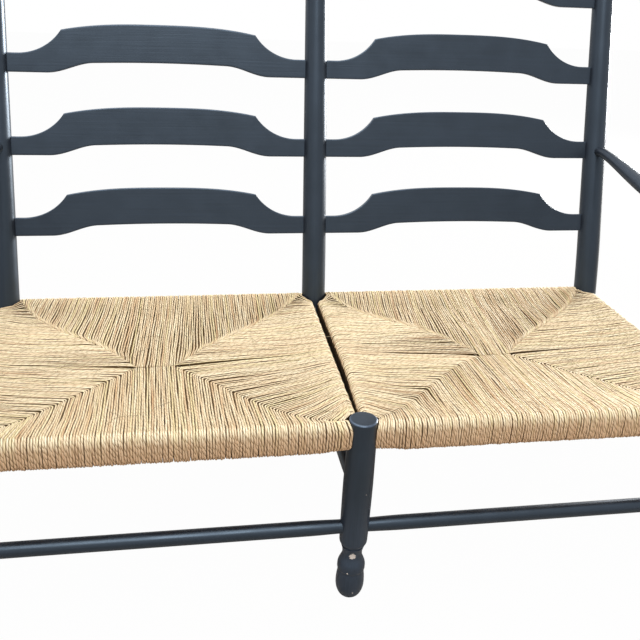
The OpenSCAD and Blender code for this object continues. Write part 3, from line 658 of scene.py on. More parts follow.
class BENCH_OT_rear_posts(bpy.types.Operator):
    """Turns and bends the three rear posts, each with its finial"""
    bl_idname = "bench.rear_posts"
    bl_label = "Rear posts"

    def execute(self, context):
        lines = BenchLines(context.scene.bench_sizes)
        sizes, finial, shoulder = lines.s, lines.finial, lines.shoulder_s
        foot_r, foot_y, round_z, bend_z = sizes.post_foot_radius, lines.foot_y, 0.0025, sizes.bend_start
        neck, ball, collar, collar_in = finial.neck, finial.ball, finial.collar, finial.collar - 0.0006

        def up(s, radius, edge=0):
            """A row on the straight back, s up from its start."""
            return (*lines.back_point(0, s), radius, edge)

        # The foot's edge is rounded so that it doesn't split on the floor
        rows = [(0, foot_y, 0.0, foot_r - round_z, 0), (0, foot_y, 0.0008, foot_r - 0.0012, 0),
                (0, foot_y, round_z, foot_r, 0)]
        rows += spread(8, lambda z: (
            0, foot_y, z, lerp(foot_r, sizes.post_radius, (z - round_z) / (bend_z - round_z)), 0),
            round_z, bend_z)
        rows += spread(30, lambda lean: (
            0, foot_y + lines.bend_r * (1 - math.cos(lean)), bend_z + lines.bend_r * math.sin(lean),
            sizes.post_radius, 0), 0, sizes.back_lean)
        rows += spread(40, lambda s: up(s, lines.post_r_at(s)), 0, shoulder)
        rows += spread(9, lambda a: up(
            shoulder + finial.shoulder_h * math.sin(a), lerp(neck, sizes.post_top_radius, math.cos(a)),
            math.sin(2 * a) / 2), 0, QUARTER)
        neck_top, fall = shoulder + finial.neck_h, collar - neck
        collar_top = neck_top + finial.collar_h
        rows += [
            up(neck_top - fall / 2, neck), up(neck_top - fall / 4, neck + fall / 2),
            up(neck_top, collar_in, 1), up(neck_top + 0.0007, collar, 1),
            up(collar_top - 0.0007, collar, 1), up(collar_top, collar_in, 1)]
        start, end = -math.acos(neck / ball), math.acos(finial.tip / ball)
        middle = collar_top + fall - ball * math.sin(start)
        tip = middle + ball * math.sin(end)
        rows += spread(30, lambda a: up(middle + ball * math.sin(a), ball * math.cos(a)), start, end, 0)
        rows += spread(9, lambda a: up(
            tip + finial.tip_h * math.sin(a), max(0.0002, finial.tip * math.cos(a))), 0, QUARTER)
        rows = np.array(rows)
        paint = painted_wood(context.scene.bench_finish)
        for name, x in (("left", -sizes.bay_width), ("centre", 0.0), ("right", sizes.bay_width)):
            path = lines.row(rows[:, :3] + (x, 0, 0))
            turned_piece("rear_post_" + name, path, rows[:, 3], rows[:, 4], paint, 64, 4 + x)
        return {"FINISHED"}


class BENCH_OT_stretchers(bpy.types.Operator):
    """Turns the seven stretchers, a little thinner where they enter their legs"""
    bl_idname = "bench.stretchers"
    bl_label = "Stretchers"

    def execute(self, context):
        lines = BenchLines(context.scene.bench_sizes)
        bars, width, front_x, depth = lines.bars, lines.s.bay_width, lines.front_x, -lines.s.seat_depth
        paint = painted_wood(context.scene.bench_finish)
        side_y, rear_y = lines.post_y(bars.side_z), lines.post_y(bars.rear_z)
        runs = [("side_stretcher_centre", (0, side_y), (0, depth), bars.side_z, bars.side_r, 1)]
        for name, side in SIDES:
            runs += [
                ("front_stretcher_" + name, (0, depth), (front_x, depth), bars.front_z, bars.front_r, side),
                ("rear_stretcher_" + name, (0, rear_y), (width, rear_y), bars.rear_z, bars.side_r, side),
                ("side_stretcher_" + name, (width, side_y), (front_x, depth), bars.side_z, bars.side_r, side)]
        # A stretcher starts 12 mm inside its leg and is 1.2 mm thinner there, swelling over 70 mm
        inset, thinned, over = 0.012, 0.0012, 0.07
        for n, (name, start, end, z, radius, side) in enumerate(runs):
            start, end = np.array([*start, z]), np.array([*end, z])
            span = np.linalg.norm(end - start)
            stops = np.linspace(inset, span - inset, 40)
            path = lines.row(start + (end - start) * (stops / span)[:, None], side)
            thinner = thinned * (1 - eased((np.minimum(stops, span - stops) - inset) / over))
            turned_piece(name, path, radius - thinner, np.zeros(40), paint, 40, 7 + 1.3 * n)
        return {"FINISHED"}


class BENCH_OT_slats(bpy.types.Operator):
    """Saws the eight slats to their crowned outline and rounds their edges over"""
    bl_idname = "bench.slats"
    bl_label = "Back slats"
    edge_round: bpy.props.FloatProperty(
        name="Edge rounding", description="Radius of the slats' rounded edges", default=0.0018, unit="LENGTH")

    def execute(self, context):
        lines = BenchLines(context.scene.bench_sizes)
        sizes = lines.s
        paint = painted_wood(context.scene.bench_finish)
        middle, lean = sizes.bay_width / 2, sizes.back_lean
        half = middle - lines.slat.web / 2
        bends = [middle - lines.slat.shoulder_in, middle - lines.slat.cove_in]
        x_all = np.unique([*np.linspace(-half, half, 130), *bends, *(-x for x in bends)])
        around, wear = self.section(sizes.slat_thickness / 2)
        y, inwards, at_bottom = around[:, 0], around[:, 1], around[:, 2] < 0
        for name, side in SIDES:
            for i in range(4):
                rings, grain = [], []
                for x in x_all:
                    s = sizes.slat_first + i * sizes.slat_pitch + np.where(
                        at_bottom, lines.slat_bottom(x) + inwards, lines.slat_top(x) - inwards)
                    rings.append(np.stack([
                        np.full(len(y), middle + x), lines.back_y + s * math.sin(lean) + y * math.cos(lean),
                        sizes.back_start + s * math.cos(lean) - y * math.sin(lean)], 1))
                    # Each slat has its own place in the grain, so that no two look alike
                    grain.append(np.stack([y, s, np.full(len(y), x + 3 * i + 11 * side)], 1))
                label = f"slat_{name}_{i + 1}"
                mesh = swept(label, lines.row(rings, side), paint, {
                    "grain": np.array(grain).reshape(-1, 3), "edge": np.tile(wear, len(x_all))}, 32)
                place(label, mesh, [label])
        return {"FINISHED"}

    def section(self, half):
        """Points round a slat's section: how far off its middle plane, how far in from an edge, and which."""
        r = self.edge_round
        rows = []
        for edge in (-1, 1):
            corner = [(-half, r * 2.2, 0.0)]
            for face, start, end in ((-1, 0, QUARTER), (1, QUARTER, 0)):
                corner += spread(5, lambda a: (
                    face * (half - r + r * math.cos(a)), r - r * math.sin(a), math.sin(2 * a)), start, end, 0)
            corner.append((half, r * 2.2, 0.0))
            rows += [(y, d, edge, wear) for y, d, wear in corner[::-edge]]
        rows = np.array(rows)
        return rows[:, :3], rows[:, 3]


class BENCH_OT_arms(bpy.types.Operator):
    """Shapes the two arms, round in the rear post and broad and flat over the front leg"""
    bl_idname = "bench.arms"
    bl_label = "Arms"

    def execute(self, context):
        lines = BenchLines(context.scene.bench_sizes)
        arm, lean = lines.arm, lines.s.back_lean
        paint = painted_wood(context.scene.bench_finish)
        # Rings lie closer where the arm swells from its root, and round its nose
        stops = [*np.linspace(0, 0.12, 14), *np.linspace(0.12, 1, 46)[1:]]
        stops += spread(18, lambda a: 1 + (lines.nose_f - 1) * math.sin(a), 0, QUARTER)
        count = 48
        turn = np.linspace(0, 2 * math.pi, count, endpoint=False)
        cos, sin = np.cos(turn)[:, None], np.sin(turn)[:, None]
        rings, grain = [], []

        def ring(middle, across, up, half_w, half_t, along):
            """One ring round the arm's middle line, and the grain on it."""
            rings.append(middle + half_w * cos * across + half_t * sin * up)
            grain.append(np.column_stack([half_w * cos, half_t * sin, np.full(count, along)]))

        into, over = np.array([[0, math.cos(lean), -math.sin(lean)], [0, math.sin(lean), math.cos(lean)]])
        for depth in (arm.root_l, 0.004):
            ring(lines.arm_point(0) + into * depth, np.array([-1, 0, 0]), over, arm.root, arm.root, -depth)
        for f in stops:
            way = lines.arm_point(f + 0.002) - lines.arm_point(f - 0.002)
            way /= np.linalg.norm(way)
            across = np.cross(way, (0, 0, 1))
            across /= np.linalg.norm(across)
            past = max(0.0, (f - 1) / (lines.nose_f - 1))
            taper = math.sqrt(max(0.0004, 1 - past * past))
            ring(lines.arm_point(f), across, np.cross(across, way),
                 lerp(arm.root, arm.width / 2, eased(f / arm.full_w)) * taper,
                 lerp(arm.root, arm.thick / 2, eased(f / arm.full_t)) * taper, f * lines.arm_run)
        for name, side in SIDES:
            mesh = swept("arm_" + name, lines.row(rings, side), paint, {
                "grain": np.array(grain).reshape(-1, 3) + (0, 0, 20 + 3 * side)}, 40)
            place("arm_" + name, mesh, ["arm_" + name])
        return {"FINISHED"}


class RushPlan:
    """Where one seat's cords run. The four corners are wound in one after the other, towards the middle.

    A way has six columns: each point's place, and the direction in which the seat's face looks there, made
    shorter where painted shade is to fall."""

    windings = 62
    bridging = 18
    # Y at which the cords from the front and from the rear meet
    centre_y = -0.279
    # From the axes of the centre leg and of the posts to the cords beside them, and the side rolls' ends
    beside_leg, beside_post = 0.0243, 0.0246
    side_ends = (-0.4685, -0.0275)
    # How far the front roll sags and the rear one stands up, and how far a middle roll leans in front
    sag, rear_up, lean_in = 0.0045, 0.004, 0.0055
    # Widths of a cord: under the seat, drawn tight under it, round the front and the rear roll, and round
    # the rear roll in the middle
    under_w, tight_w, front_w, rear_w, middle_w = 0.0038, 0.0037, 0.0047, 0.0046, 0.0045
    # Mitre seams in plan, each from its corner to the middle of the seat
    seams_left = {
        "front_inner": ((0.029, -0.486), (0.102, -0.467), (0.170, -0.406), (0.250, -0.328), (0.295, -0.282)),
        "rear_inner": ((0.030, -0.006), (0.071, -0.059), (0.152, -0.139), (0.245, -0.221), (0.295, -0.276)),
        "front_outer": ((0.605, -0.489), (0.533, -0.433), (0.461, -0.362), (0.410, -0.326), (0.366, -0.281)),
        "rear_outer": ((0.593, -0.008), (0.550, -0.082), (0.471, -0.161), (0.395, -0.237), (0.366, -0.277))}
    seams_right = {
        "front_inner": ((0.027, -0.485), (0.080, -0.449), (0.154, -0.372), (0.212, -0.323), (0.272, -0.281)),
        "rear_inner": ((0.028, -0.010), (0.088, -0.088), (0.165, -0.149), (0.256, -0.244), (0.272, -0.277)),
        "front_outer": ((0.612, -0.488), (0.521, -0.433), (0.441, -0.364), (0.388, -0.328), (0.333, -0.281)),
        "rear_outer": ((0.597, -0.012), (0.530, -0.096), (0.448, -0.167), (0.386, -0.222), (0.333, -0.277))}

    def __init__(self, lines, side, seed):
        self.lines, self.side = lines, side
        self.rng = np.random.default_rng(seed)
        s = lines.s
        self.front_y, self.rear_y, self.inner_x = -s.seat_depth, lines.rail_y, s.middle_roll_x
        cross, along = 2 * self.windings + self.bridging, 2 * self.windings
        self.front = self.spaced(cross, self.beside_leg, lines.front_x - self.beside_post, 0.06, 0.0)
        self.rear = self.spaced(cross, self.beside_post, s.bay_width - self.beside_post, 0.06, 0.0)
        self.inner = self.spaced(along, *self.side_ends, 0.06, 0.0)
        self.outer = self.spaced(along, *self.side_ends, 0.06, 0.0)
        self.meeting = self.spaced(self.bridging, 0, 1)[0]
        self.seams = {}
        for corner, points in (self.seams_left if side < 0 else self.seams_right).items():
            x, y = np.array(points).T
            self.seams[corner] = (x[0], x[-1], np.polyfit(x, y, 3), self.spaced(self.windings, 0, 1)[0])
        self.middle = (self.seams["front_inner"][1], self.seams["front_outer"][1])
        self.swell = self.rng.uniform((6, 6, 0), (22, 22, 7), (5, 3))

    def spaced(self, count, low, high, uneven=0.15, gaps=0.2):
        """Places and widths of cords between two ends, unevenly spaced, with wider gaps here and there."""
        width = np.clip(1 + uneven * self.rng.standard_normal(count), 0.72, 1.3)
        gap = np.where(self.rng.random(count) < gaps, self.rng.uniform(0.15, 0.6, count), 0.0)
        ends = np.cumsum(width + gap)
        scale = (high - low) / ends[-1]
        return low + (ends - width / 2) * scale, width * scale

    def outer_x(self, y):
        """X of the outer side rail's axis at y."""
        s = self.lines.s
        return s.bay_width + s.splay * (self.rear_y - y) / (self.rear_y + s.seat_depth)

    def seam(self, corner, k):
        """Plan of the point where winding k of a corner meets its mitre seam."""
        start, end, curve, shares = self.seams[corner]
        x = start + (end - start) * shares[k]
        return np.array([x, np.polyval(curve, x)])

    def height(self, x, y, under=False):
        """Height of the cords' middles on the panel, highest over the rolls."""
        s = self.lines.s
        edge = np.minimum.reduce([
            np.abs(y - self.front_y), np.abs(self.rear_y - y), np.abs(x - self.inner_x),
            np.abs(self.outer_x(y) - x)])
        # The panel reaches its full depth 70 mm in from its edges, and slow waves run over it
        dip = s.panel_dip * eased(edge / 0.07)
        wave = sum(np.sin(a * x * 3 + b * y * 2 + c) for a, b, c in self.swell) * 0.0002 * eased(edge / 0.05)
        if under:
            return s.roll_middle - s.roll_height / 2 + dip + wave
        return self.lines.roll_top - dip + wave + self.rear_rise(x, y)

    def rear_rise(self, x, y):
        """How much the rear roll stands up over the others, away from its posts."""
        near_post = np.minimum(np.abs(x), np.abs(self.lines.s.bay_width - x))
        return self.rear_up * eased(1 - (self.rear_y - y) / 0.06) * eased((near_post - 0.012) / 0.02)

    def roll(self, x, y, out, thickness, count=13):
        """A half turn round a rail, from its underside over its outer face to its top."""
        s = self.lines.s
        radius, straight = thickness / 2, s.roll_height / 2 - thickness / 2
        turn = np.linspace(-QUARTER, QUARTER, count)
        reach = radius * np.cos(turn)
        rise = radius * np.sin(turn) + np.where(turn < 0, -straight, straight)
        # The cords within 50 mm of a leg or post are pushed in round it
        beside, hug = 0.026, 0.05
        far_x = self.lines.front_x if y == self.front_y else s.bay_width
        if y in (self.front_y, self.rear_y):
            wrapped = s.post_radius - np.sqrt(s.post_radius ** 2 - reach ** 2)
            x = x - wrapped * max(0.0, 1 - (x - beside) / hug)
            x = x + wrapped * max(0.0, 1 - (far_x - beside - x[0]) / hug)
        # The front roll sags in full from 85 mm beside each leg on
        if y == self.front_y:
            sag = self.sag * eased((x - 0.025) / 0.06) * eased((far_x - 0.025 - x) / 0.06)
            rise -= sag * eased(0.5 - turn / 2)
        if y == self.rear_y:
            rise += self.rear_rise(x, y) * eased(0.5 + turn)
        # The two middle rolls shade each other, so their facing sides go dark a little below the top
        dark_from = 0.0205 if self.side < 0 else 0.018
        light = 1 - 0.95 * eased((dark_from - rise) / 0.005) if out[0] < 0 else np.ones(count)
        return np.stack([
            x + out[0] * reach, y + out[1] * reach, s.roll_middle + rise,
            out[0] * np.cos(turn) * light, out[1] * np.cos(turn) * light, np.sin(turn) * light], 1)

    def on_panel(self, plan, under=False):
        """A way over the panel; cords that run from front to back get a shorter crown than the others, which
        paints more shade and less highlight on them.
        """
        across = np.zeros((len(plan), 2))
        way = np.abs(np.gradient(plan, axis=0))
        furrow_shade = 0.76 + 0.24 * way[:, 0] / np.maximum(way.sum(1), 1e-6)
        up = furrow_shade * (-1.0 if under else 1.0)
        return np.column_stack([plan, self.height(plan[:, 0], plan[:, 1], under), across, up])

    def run(self, start, end, count, under=False, bunch=1.0):
        """A straight stretch between two points of the plan, without its end; bunch packs its last points."""
        t = 1 - (1 - np.linspace(0, 1, count, endpoint=False)) ** bunch
        return self.on_panel(lerp(np.array(start), np.array(end), t[:, None]), under)

    def bent(self, start, corner, end, radius, before, after):
        """A stretch on the panel that turns a rounded corner."""
        start, corner, end = (np.array(p, float) for p in (start, corner, end))
        # The bend takes up less than half of either stretch
        to_start, to_end = start - corner, end - corner
        reach = min(radius, 0.48 * np.linalg.norm(to_start), 0.48 * np.linalg.norm(to_end))
        a = corner + to_start / np.linalg.norm(to_start) * reach
        b = corner + to_end / np.linalg.norm(to_end) * reach
        t = np.linspace(0, 1, 6)[:, None]
        bend = (1 - t) ** 2 * a + 2 * t * (1 - t) * corner + t * t * b
        go = lerp(start, a, np.linspace(0, 1, before, endpoint=False)[:, None])
        leave = lerp(b, end, np.linspace(0, 1, after + 1)[1:, None])
        return self.on_panel(np.concatenate([go, bend, leave]))

    def wander(self, way, amount):
        """Slow sideways and up-and-down wander of a hand-laid cord."""
        along = np.concatenate([[0], np.cumsum(np.linalg.norm(np.diff(way[:, :3], axis=0), axis=1))])
        moved = way.copy()
        # Waves 160, 70 and 35 mm long, the short ones lower in proportion
        for axis, share in ((0, 1.0), (1, 1.0), (2, 0.8)):
            for wave in (0.16, 0.07, 0.035):
                phase = self.rng.uniform(0, 2 * math.pi)
                moved[:, axis] += share * amount * wave / 0.16 * np.sin(2 * math.pi * along / wave + phase)
        return moved

    def cord(self, way, *widths):
        """One cord: its way, its radius along it and its tone. Each width comes with its share of the way."""
        stops, widths = np.array(widths).T
        thick = np.interp(np.linspace(0, 1, len(way)), stops, widths / 2) * self.rng.uniform(0.91, 1.01)
        return self.wander(way, 0.0005), thick, self.rng.random()

    def side_of(self, corner):
        """The side roll that a corner's cords turn to: places, widths, thickness and the way outwards."""
        s = self.lines.s
        if corner.endswith("inner"):
            return self.inner, s.middle_roll_thickness, -1
        return self.outer, s.roll_thickness, 1

    def side_x(self, corner, y):
        """X of that side roll's axis at y; in front, the right seat's middle roll leans to the left one."""
        if corner.endswith("outer"):
            return self.outer_x(y)
        share = (self.rear_y - y) / (self.rear_y - self.front_y)
        if self.side > 0:
            return self.inner_x - self.lean_in * eased((share - 0.55) / 0.45)
        return self.inner_x + 0.001 * math.sin(math.pi * share)

    def front_corner(self, corner):
        """A front corner's windings: each cord comes over the front roll and turns to the side roll."""
        (side_at, side_w), thickness, out = self.side_of(corner)
        cords = []
        for k in range(self.windings):
            i = k if corner.endswith("inner") else len(self.front[0]) - 1 - k
            x, y = self.front[0][i], side_at[k]
            seam = self.seam(corner, k)
            side_x = self.side_x(corner, y)
            way = np.concatenate([
                self.run(seam, (x, self.front_y), 6, True),
                self.roll(x, self.front_y, (0, -1), self.lines.s.roll_thickness)[:-1],
                self.bent((x, self.front_y), seam, (side_x, y), self.rng.uniform(0.003, 0.007), 9, 9)[:-1],
                self.roll(side_x, y, (out, 0), thickness)[::-1],
                self.run(seam, (side_x, y), 6, True)[::-1]])
            # The first windings lie squeezed where they turn
            turned = 0.0031 if k < 14 else 0.0036
            cords.append(self.cord(
                way, (0, self.under_w), (0.11, self.front_w), (0.31, self.front_w), (0.4, self.front[1][i]),
                (0.53, turned), (0.66, side_w[k]), (0.72, self.tight_w), (1, self.tight_w)))
        return cords

    def rear_corner(self, corner):
        """A rear corner's windings: cords over the rear roll that hook under those from the side roll."""
        (side_at, side_w), thickness, out = self.side_of(corner)
        cords, n = [], self.windings
        for k in range(n):
            inner = corner.endswith("inner")
            i = k if inner else len(self.rear[0]) - 1 - k
            x, y = self.rear[0][i], side_at[len(side_at) - 1 - k]
            seam = self.seam(corner, k)
            side_x = self.side_x(corner, y)
            span = abs(self.rear_y - seam[1])
            # The cord's last 32 mm hook up to 13 mm aside and under, less where it is short or innermost
            bow = -out * 0.013 * min(1, span / 0.08, (n - k) / 16)
            top = self.run((x, self.rear_y), (seam[0] - bow, seam[1]), 18, bunch=2.2)
            left = np.abs(top[:, 1] - seam[1])
            top[:, 0] += bow * eased(1 - left / 0.032) ** 1.5
            top[:, 2] -= 0.0004 + 0.003 * eased(1 - left / 0.006)
            tip = top[-1:] + np.array([[bow * 0.5, -0.006, -0.001, 0, 0, 0]])
            way = np.concatenate([
                self.run(seam, (x, self.rear_y), 6, True),
                self.roll(x, self.rear_y, (0, 1), self.lines.s.roll_thickness)[:-1], top, tip])
            cords.append(self.cord(
                way, (0, self.under_w), (0.16, self.rear_w), (0.48, self.rear_w), (0.6, self.rear[1][i]),
                (0.8, 0.0040), (1, 0.0030)))
            across = self.run((side_x, y), seam, 14, bunch=1.6)
            across[:, 2] += 0.0008 * eased(np.linspace(0, 1, 14) / 0.9)
            # The end goes down into the seam
            end = across[-1:].repeat(2, 0)
            end[:, 0] = seam[0] - out * 0.0008, seam[0] - out * 0.0014
            end[:, 1] = seam[1]
            end[:, 2] -= 0.0008, 0.0042
            way = np.concatenate([
                self.run(seam, (side_x, y), 6, True),
                self.roll(side_x, y, (out, 0), thickness)[:-1], across, end])
            w = side_w[len(side_at) - 1 - k]
            cords.append(self.cord(
                way, (0, w), (0.17, self.tight_w), (0.5, self.tight_w), (0.65, w), (1, 0.0036)))
        return cords

    def bridge(self, front):
        """The cords that close the middle, from the front or the rear roll to the seam between them."""
        places, widths = self.front if front else self.rear
        roll_y = self.front_y if front else self.rear_y
        cords, rolled = [], self.front_w if front else self.middle_w
        for k in range(self.bridging):
            i = self.windings + k
            x = places[i]
            end_x = lerp(*self.middle, self.meeting[k])
            # Both rows of ends stand 1 mm off the seam, give or take 1 mm
            end_y = self.centre_y + (-0.001 if front else 0.001) + self.rng.uniform(-0.001, 0.001)
            top = self.run((x, roll_y), (end_x, end_y), 16, bunch=2.2)
            last = top[-1:].repeat(2, 0)
            last[:, 1] = end_y
            last[:, 2] -= 0.0008, 0.0045
            way = np.concatenate([
                self.run((end_x, end_y), (x, roll_y), 6, True),
                self.roll(x, roll_y, (0, -1 if front else 1), self.lines.s.roll_thickness)[:-1], top, last])
            cords.append(self.cord(
                way, (0, 0.0036), (0.16, rolled), (0.48, rolled), (0.62, widths[i]), (1, 0.0038)))
        return cords

    def loose_fibres(self, count, low_y, high_y):
        """Single leaves that have come out of the cords and lie curled on the seat."""
        fibres = []
        for _ in range(count):
            x = self.rng.uniform(0.02, self.lines.s.bay_width - 0.01)
            y = self.rng.uniform(low_y, high_y)
            heading, curl = self.rng.uniform(0, 2 * math.pi), self.rng.uniform(-50, 50)
            # Each is 15 to 45 mm long and half a millimetre wide
            steps = np.linspace(0, self.rng.uniform(0.015, 0.045), 14)
            angle = heading + curl * steps
            plan = np.array([x, y]) + np.cumsum(np.stack([np.cos(angle), np.sin(angle)], 1), 0) * steps[1]
            way = self.on_panel(plan)
            way[:, 2] += 0.0021 + 0.0012 * np.sin(np.linspace(0, math.pi, 14))
            fibres.append((way, np.full(14, 0.00028), self.rng.uniform(0, 0.3)))
        return fibres


class BENCH_OT_rush_seats(bpy.types.Operator):
    """Winds the two rush seats cord by cord round their rails"""
    bl_idname = "bench.rush_seats"
    bl_label = "Rush seats"
    seed: bpy.props.IntProperty(name="Seed", description="Fixes the unevenness of the winding", default=7)

    def execute(self, context):
        lines = BenchLines(context.scene.bench_sizes)
        rush = twisted_rush(context.scene.bench_finish, lines.s)
        for name, side in SIDES:
            plan = RushPlan(lines, side, self.seed + side)
            for part in ("front", "rear"):
                corner = plan.front_corner if part == "front" else plan.rear_corner
                cords = corner(part + "_inner") + corner(part + "_outer") + plan.bridge(part == "front")
                cords += plan.loose_fibres(45, *((-0.47, -0.25) if part == "front" else (-0.25, -0.03)))
                paths = [lines.row(way[:, :3], side) for way, _, _ in cords]
                crowns = [way[:, 3:] * (side, 1, 1) for way, _, _ in cords]
                tones = [np.full(len(way), tone) for way, _, tone in cords]
                label = f"rush_{name}_{part}"
                guide = path_mesh(label, paths, {
                    "girth": [thick for _, thick, _ in cords], "tone": tones, "crown": crowns})
                mesh = baked(label, guide, sweep_tree("Rush cord", facing_of), {"Sides": 8, "Finish": rush})
                place(label, mesh, ["rush_seat_" + name])
        return {"FINISHED"}


class BENCH_OT_stuffing(bpy.types.Operator):
    """Fills the two seats with their pads of chopped rush, crowned and drawn in at the edges"""
    bl_idname = "bench.stuffing"
    bl_label = "Seat stuffing"

    def execute(self, context):
        straw = chopped_rush(context.scene.bench_finish)
        # The stuffing is pushed out past the CAD pad, towards the rails
        out = 0.022 * np.array([[(-1, -1), (1, -1)], [(-1, 1), (1, 1)]])
        share = np.linspace(0, 1, 29)
        for name, _ in SIDES:
            node = "seat_padding_" + name
            low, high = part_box(node)
            middle, half = (low.z + high.z) / 2, (high.z - low.z) / 2
            shape = bmesh.new()
            shape.from_mesh(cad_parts[node].data)
            bmesh.ops.remove_doubles(shape, verts=shape.verts, dist=1e-5)
            bmesh.ops.recalc_face_normals(shape, faces=shape.faces)
            bmesh.ops.dissolve_limit(shape, angle_limit=0.02, verts=shape.verts, edges=shape.edges)
            corners = {(round(v.co.y, 5), round(v.co.x, 5)) for v in shape.verts}
            shape.free()
            front, rear = np.array(sorted(corners))[:, ::-1].reshape(2, 2, 2) + out
            rings = []
            for v in share:
                left, right = lerp(front, rear, v)
                # The pad is a quarter as thick at its rim, and rises over the outer 16% of its size
                rim = np.minimum(np.minimum(share, 1 - share), min(v, 1 - v))
                crown = 0.25 + 0.75 * np.sqrt(1 - (1 - np.minimum(1, rim / 0.16)) ** 2)
                tuck = 0.0008 * np.sin(math.pi * share) * math.sin(math.pi * v)
                plan, rise = lerp(left, right, share[:, None]), half * crown - tuck
                rings.append(np.concatenate([
                    np.column_stack([plan, middle + rise]), np.column_stack([plan, middle - rise])[::-1]]))
            mesh = swept("stuffing_" + name, np.array(rings), straw, {}, 180)
            pad = place("stuffing_" + name, mesh, [node])
        return {"FINISHED"}


class BENCH_OT_rails_and_pegs(bpy.types.Operator):
    """Leaves the seat rails inside the rush bare and paints the pegs at the back of the posts"""
    bl_idname = "bench.rails_and_pegs"
    bl_label = "Rails and pegs"

    def execute(self, context):
        paint = painted_wood(context.scene.bench_finish, "Satin paint on pegs", False)
        bare = bare_maple(context.scene.bench_finish)
        for name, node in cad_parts.items():
            if "_rail_" in name or name == "slat_pegs":
                node.data.materials.clear()
                node.data.materials.append(paint if name == "slat_pegs" else bare)
        return {"FINISHED"}


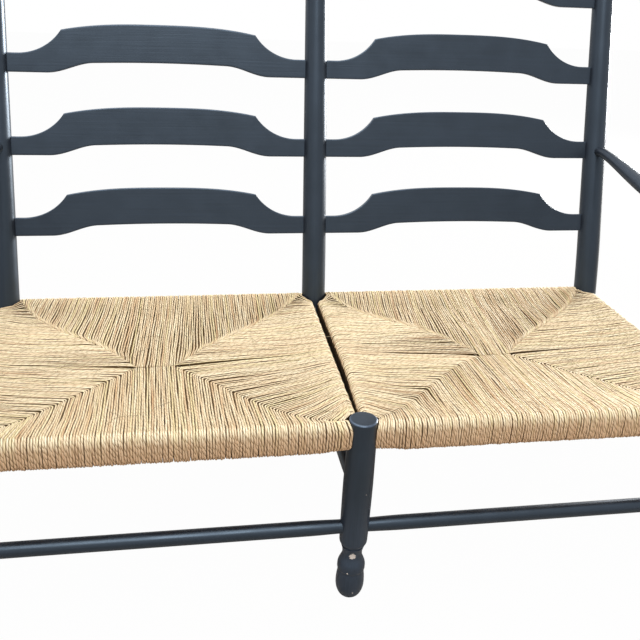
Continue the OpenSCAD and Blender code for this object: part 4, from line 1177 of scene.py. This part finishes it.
class BENCH_OT_studio(bpy.types.Operator):
    """Sets up the pale floor, the soft light and the camera at the photograph's angle"""
    bl_idname = "bench.studio"
    bl_label = "Studio"

    def execute(self, context):
        scene = context.scene
        scene.view_settings.view_transform = "Standard"
        self.floor(scene)
        self.sky(scene)
        self.light("Window", (3.0, 2.2, 0.9), (0.2, 0.0, 0.7), 1.1, 230)
        self.light("Ceiling", (-0.6, 0.3, 3.2), (0.0, 0.1, 0.3), 3.0, 100)
        self.light("Fill", (-0.2, -2.3, 3.5), (0.0, -0.4, 0.3), 1.6, 92)
        # The camera was fitted to the bench's own lines: it looks down, leans a little and is turned
        tilt, roll, heading = 66.374, -3.1695, -9.984
        focal_pixels, picture_pixels, sensor = 883.33, 640, 36.0
        camera = bpy.data.cameras.new("Camera")
        camera.sensor_width = sensor
        camera.lens = focal_pixels / picture_pixels * sensor
        camera.shift_y = -0.0625
        camera.clip_start = 0.05
        spot = (-0.3239, -1.6741 + BenchLines(scene.bench_sizes).shift_y, 1.1374)
        scene.camera = self.stand("Camera", camera, spot, [math.radians(a) for a in (tilt, roll, heading)])
        return {"FINISHED"}

    def stand(self, name, data, spot, angles):
        """Puts a lamp or camera in the scene, with its place and its three angles."""
        holder = bpy.data.objects.new(name, data)
        holder.location = spot
        holder.rotation_euler = angles
        bpy.context.scene.collection.objects.link(holder)
        return holder

    def light(self, name, spot, aim, size, power):
        """A square soft light that looks at a point."""
        data = bpy.data.lights.new(name, "AREA")
        data.size = size
        data.energy = power
        way = Vector(spot) - Vector(aim)
        self.stand(name, data, spot, way.to_track_quat("Z", "Y").to_euler())

    def floor(self, scene):
        """A plain floor, white to the camera except for the bench's soft shadow."""
        mesh = bpy.data.meshes.new("floor")
        mesh.from_pydata([(-6, -6, 0), (6, -6, 0), (6, 6, 0), (-6, 6, 0)], [], [(0, 1, 2, 3)])
        floor = bpy.data.objects.new("floor", mesh)
        scene.collection.objects.link(floor)
        material = bpy.data.materials.new("White studio floor")
        add = emptied(material)
        matt = add("ShaderNodeBsdfDiffuse", {"Color": (*scene.bench_finish.floor, 1)})
        glow = add("ShaderNodeEmission", {"Color": (1, 1, 1, 1), "Strength": 1.0})
        seen = add("ShaderNodeLightPath", out="Is Camera Ray")
        share = add("ShaderNodeMath", (seen, 0.98), operation="MULTIPLY")
        both = add("ShaderNodeMixShader", (share, matt, glow))
        add("ShaderNodeOutputMaterial", {"Surface": both})
        mesh.materials.append(material)

    def sky(self, scene):
        """White where the camera and the gloss look, and a plain level of light everywhere else."""
        world = bpy.data.worlds.new("Studio")
        add = emptied(world)
        path = add("ShaderNodeLightPath", out=None)
        seen = add("ShaderNodeMath", (path["Is Camera Ray"], path["Is Glossy Ray"]), operation="MAXIMUM")
        seen = add("ShaderNodeMath", (seen, path["Is Transmission Ray"]), operation="MAXIMUM")
        soft = add("ShaderNodeBackground", {"Color": (0.95, 0.97, 1.0, 1), "Strength": 0.42})
        white = add("ShaderNodeBackground", {"Color": (1, 1, 1, 1), "Strength": 1.0})
        both = add("ShaderNodeMixShader", (seen, soft, white))
        add("ShaderNodeOutputWorld", {"Surface": both})
        scene.world = world


OPERATORS = (
    BENCH_OT_studio, BENCH_OT_rear_posts, BENCH_OT_front_legs, BENCH_OT_slats, BENCH_OT_arms,
    BENCH_OT_stretchers, BENCH_OT_rails_and_pegs, BENCH_OT_stuffing, BENCH_OT_rush_seats)


class BENCH_PT_panel(bpy.types.Panel):
    """Lists the bench's sizes, colours and pieces"""
    bl_idname = "BENCH_PT_panel"
    bl_label = "Ladder-back Bench"
    bl_space_type = "VIEW_3D"
    bl_region_type = "UI"
    bl_category = "Bench"

    def draw(self, context):
        layout = self.layout
        for group in (context.scene.bench_sizes, context.scene.bench_finish):
            box = layout.box()
            for name in group.__annotations__:
                box.prop(group, name)
        for operator in OPERATORS:
            layout.operator(operator.bl_idname)


CLASSES = (BENCH_PG_sizes, BENCH_PG_finish, *OPERATORS, BENCH_PT_panel)


def register():
    for kind in CLASSES:
        bpy.utils.register_class(kind)
    bpy.types.Scene.bench_sizes = bpy.props.PointerProperty(type=BENCH_PG_sizes)
    bpy.types.Scene.bench_finish = bpy.props.PointerProperty(type=BENCH_PG_finish)


def unregister():
    del bpy.types.Scene.bench_finish
    del bpy.types.Scene.bench_sizes
    for kind in reversed(CLASSES):
        bpy.utils.unregister_class(kind)


def main():
    """Builds the whole bench."""
    register()
    bpy.ops.bench.studio()
    bpy.ops.bench.rear_posts()
    bpy.ops.bench.front_legs()
    bpy.ops.bench.slats()
    bpy.ops.bench.arms()
    bpy.ops.bench.stretchers()
    bpy.ops.bench.rails_and_pegs()
    bpy.ops.bench.stuffing()
    bpy.ops.bench.rush_seats()


if __name__ == "__main__":
    main()
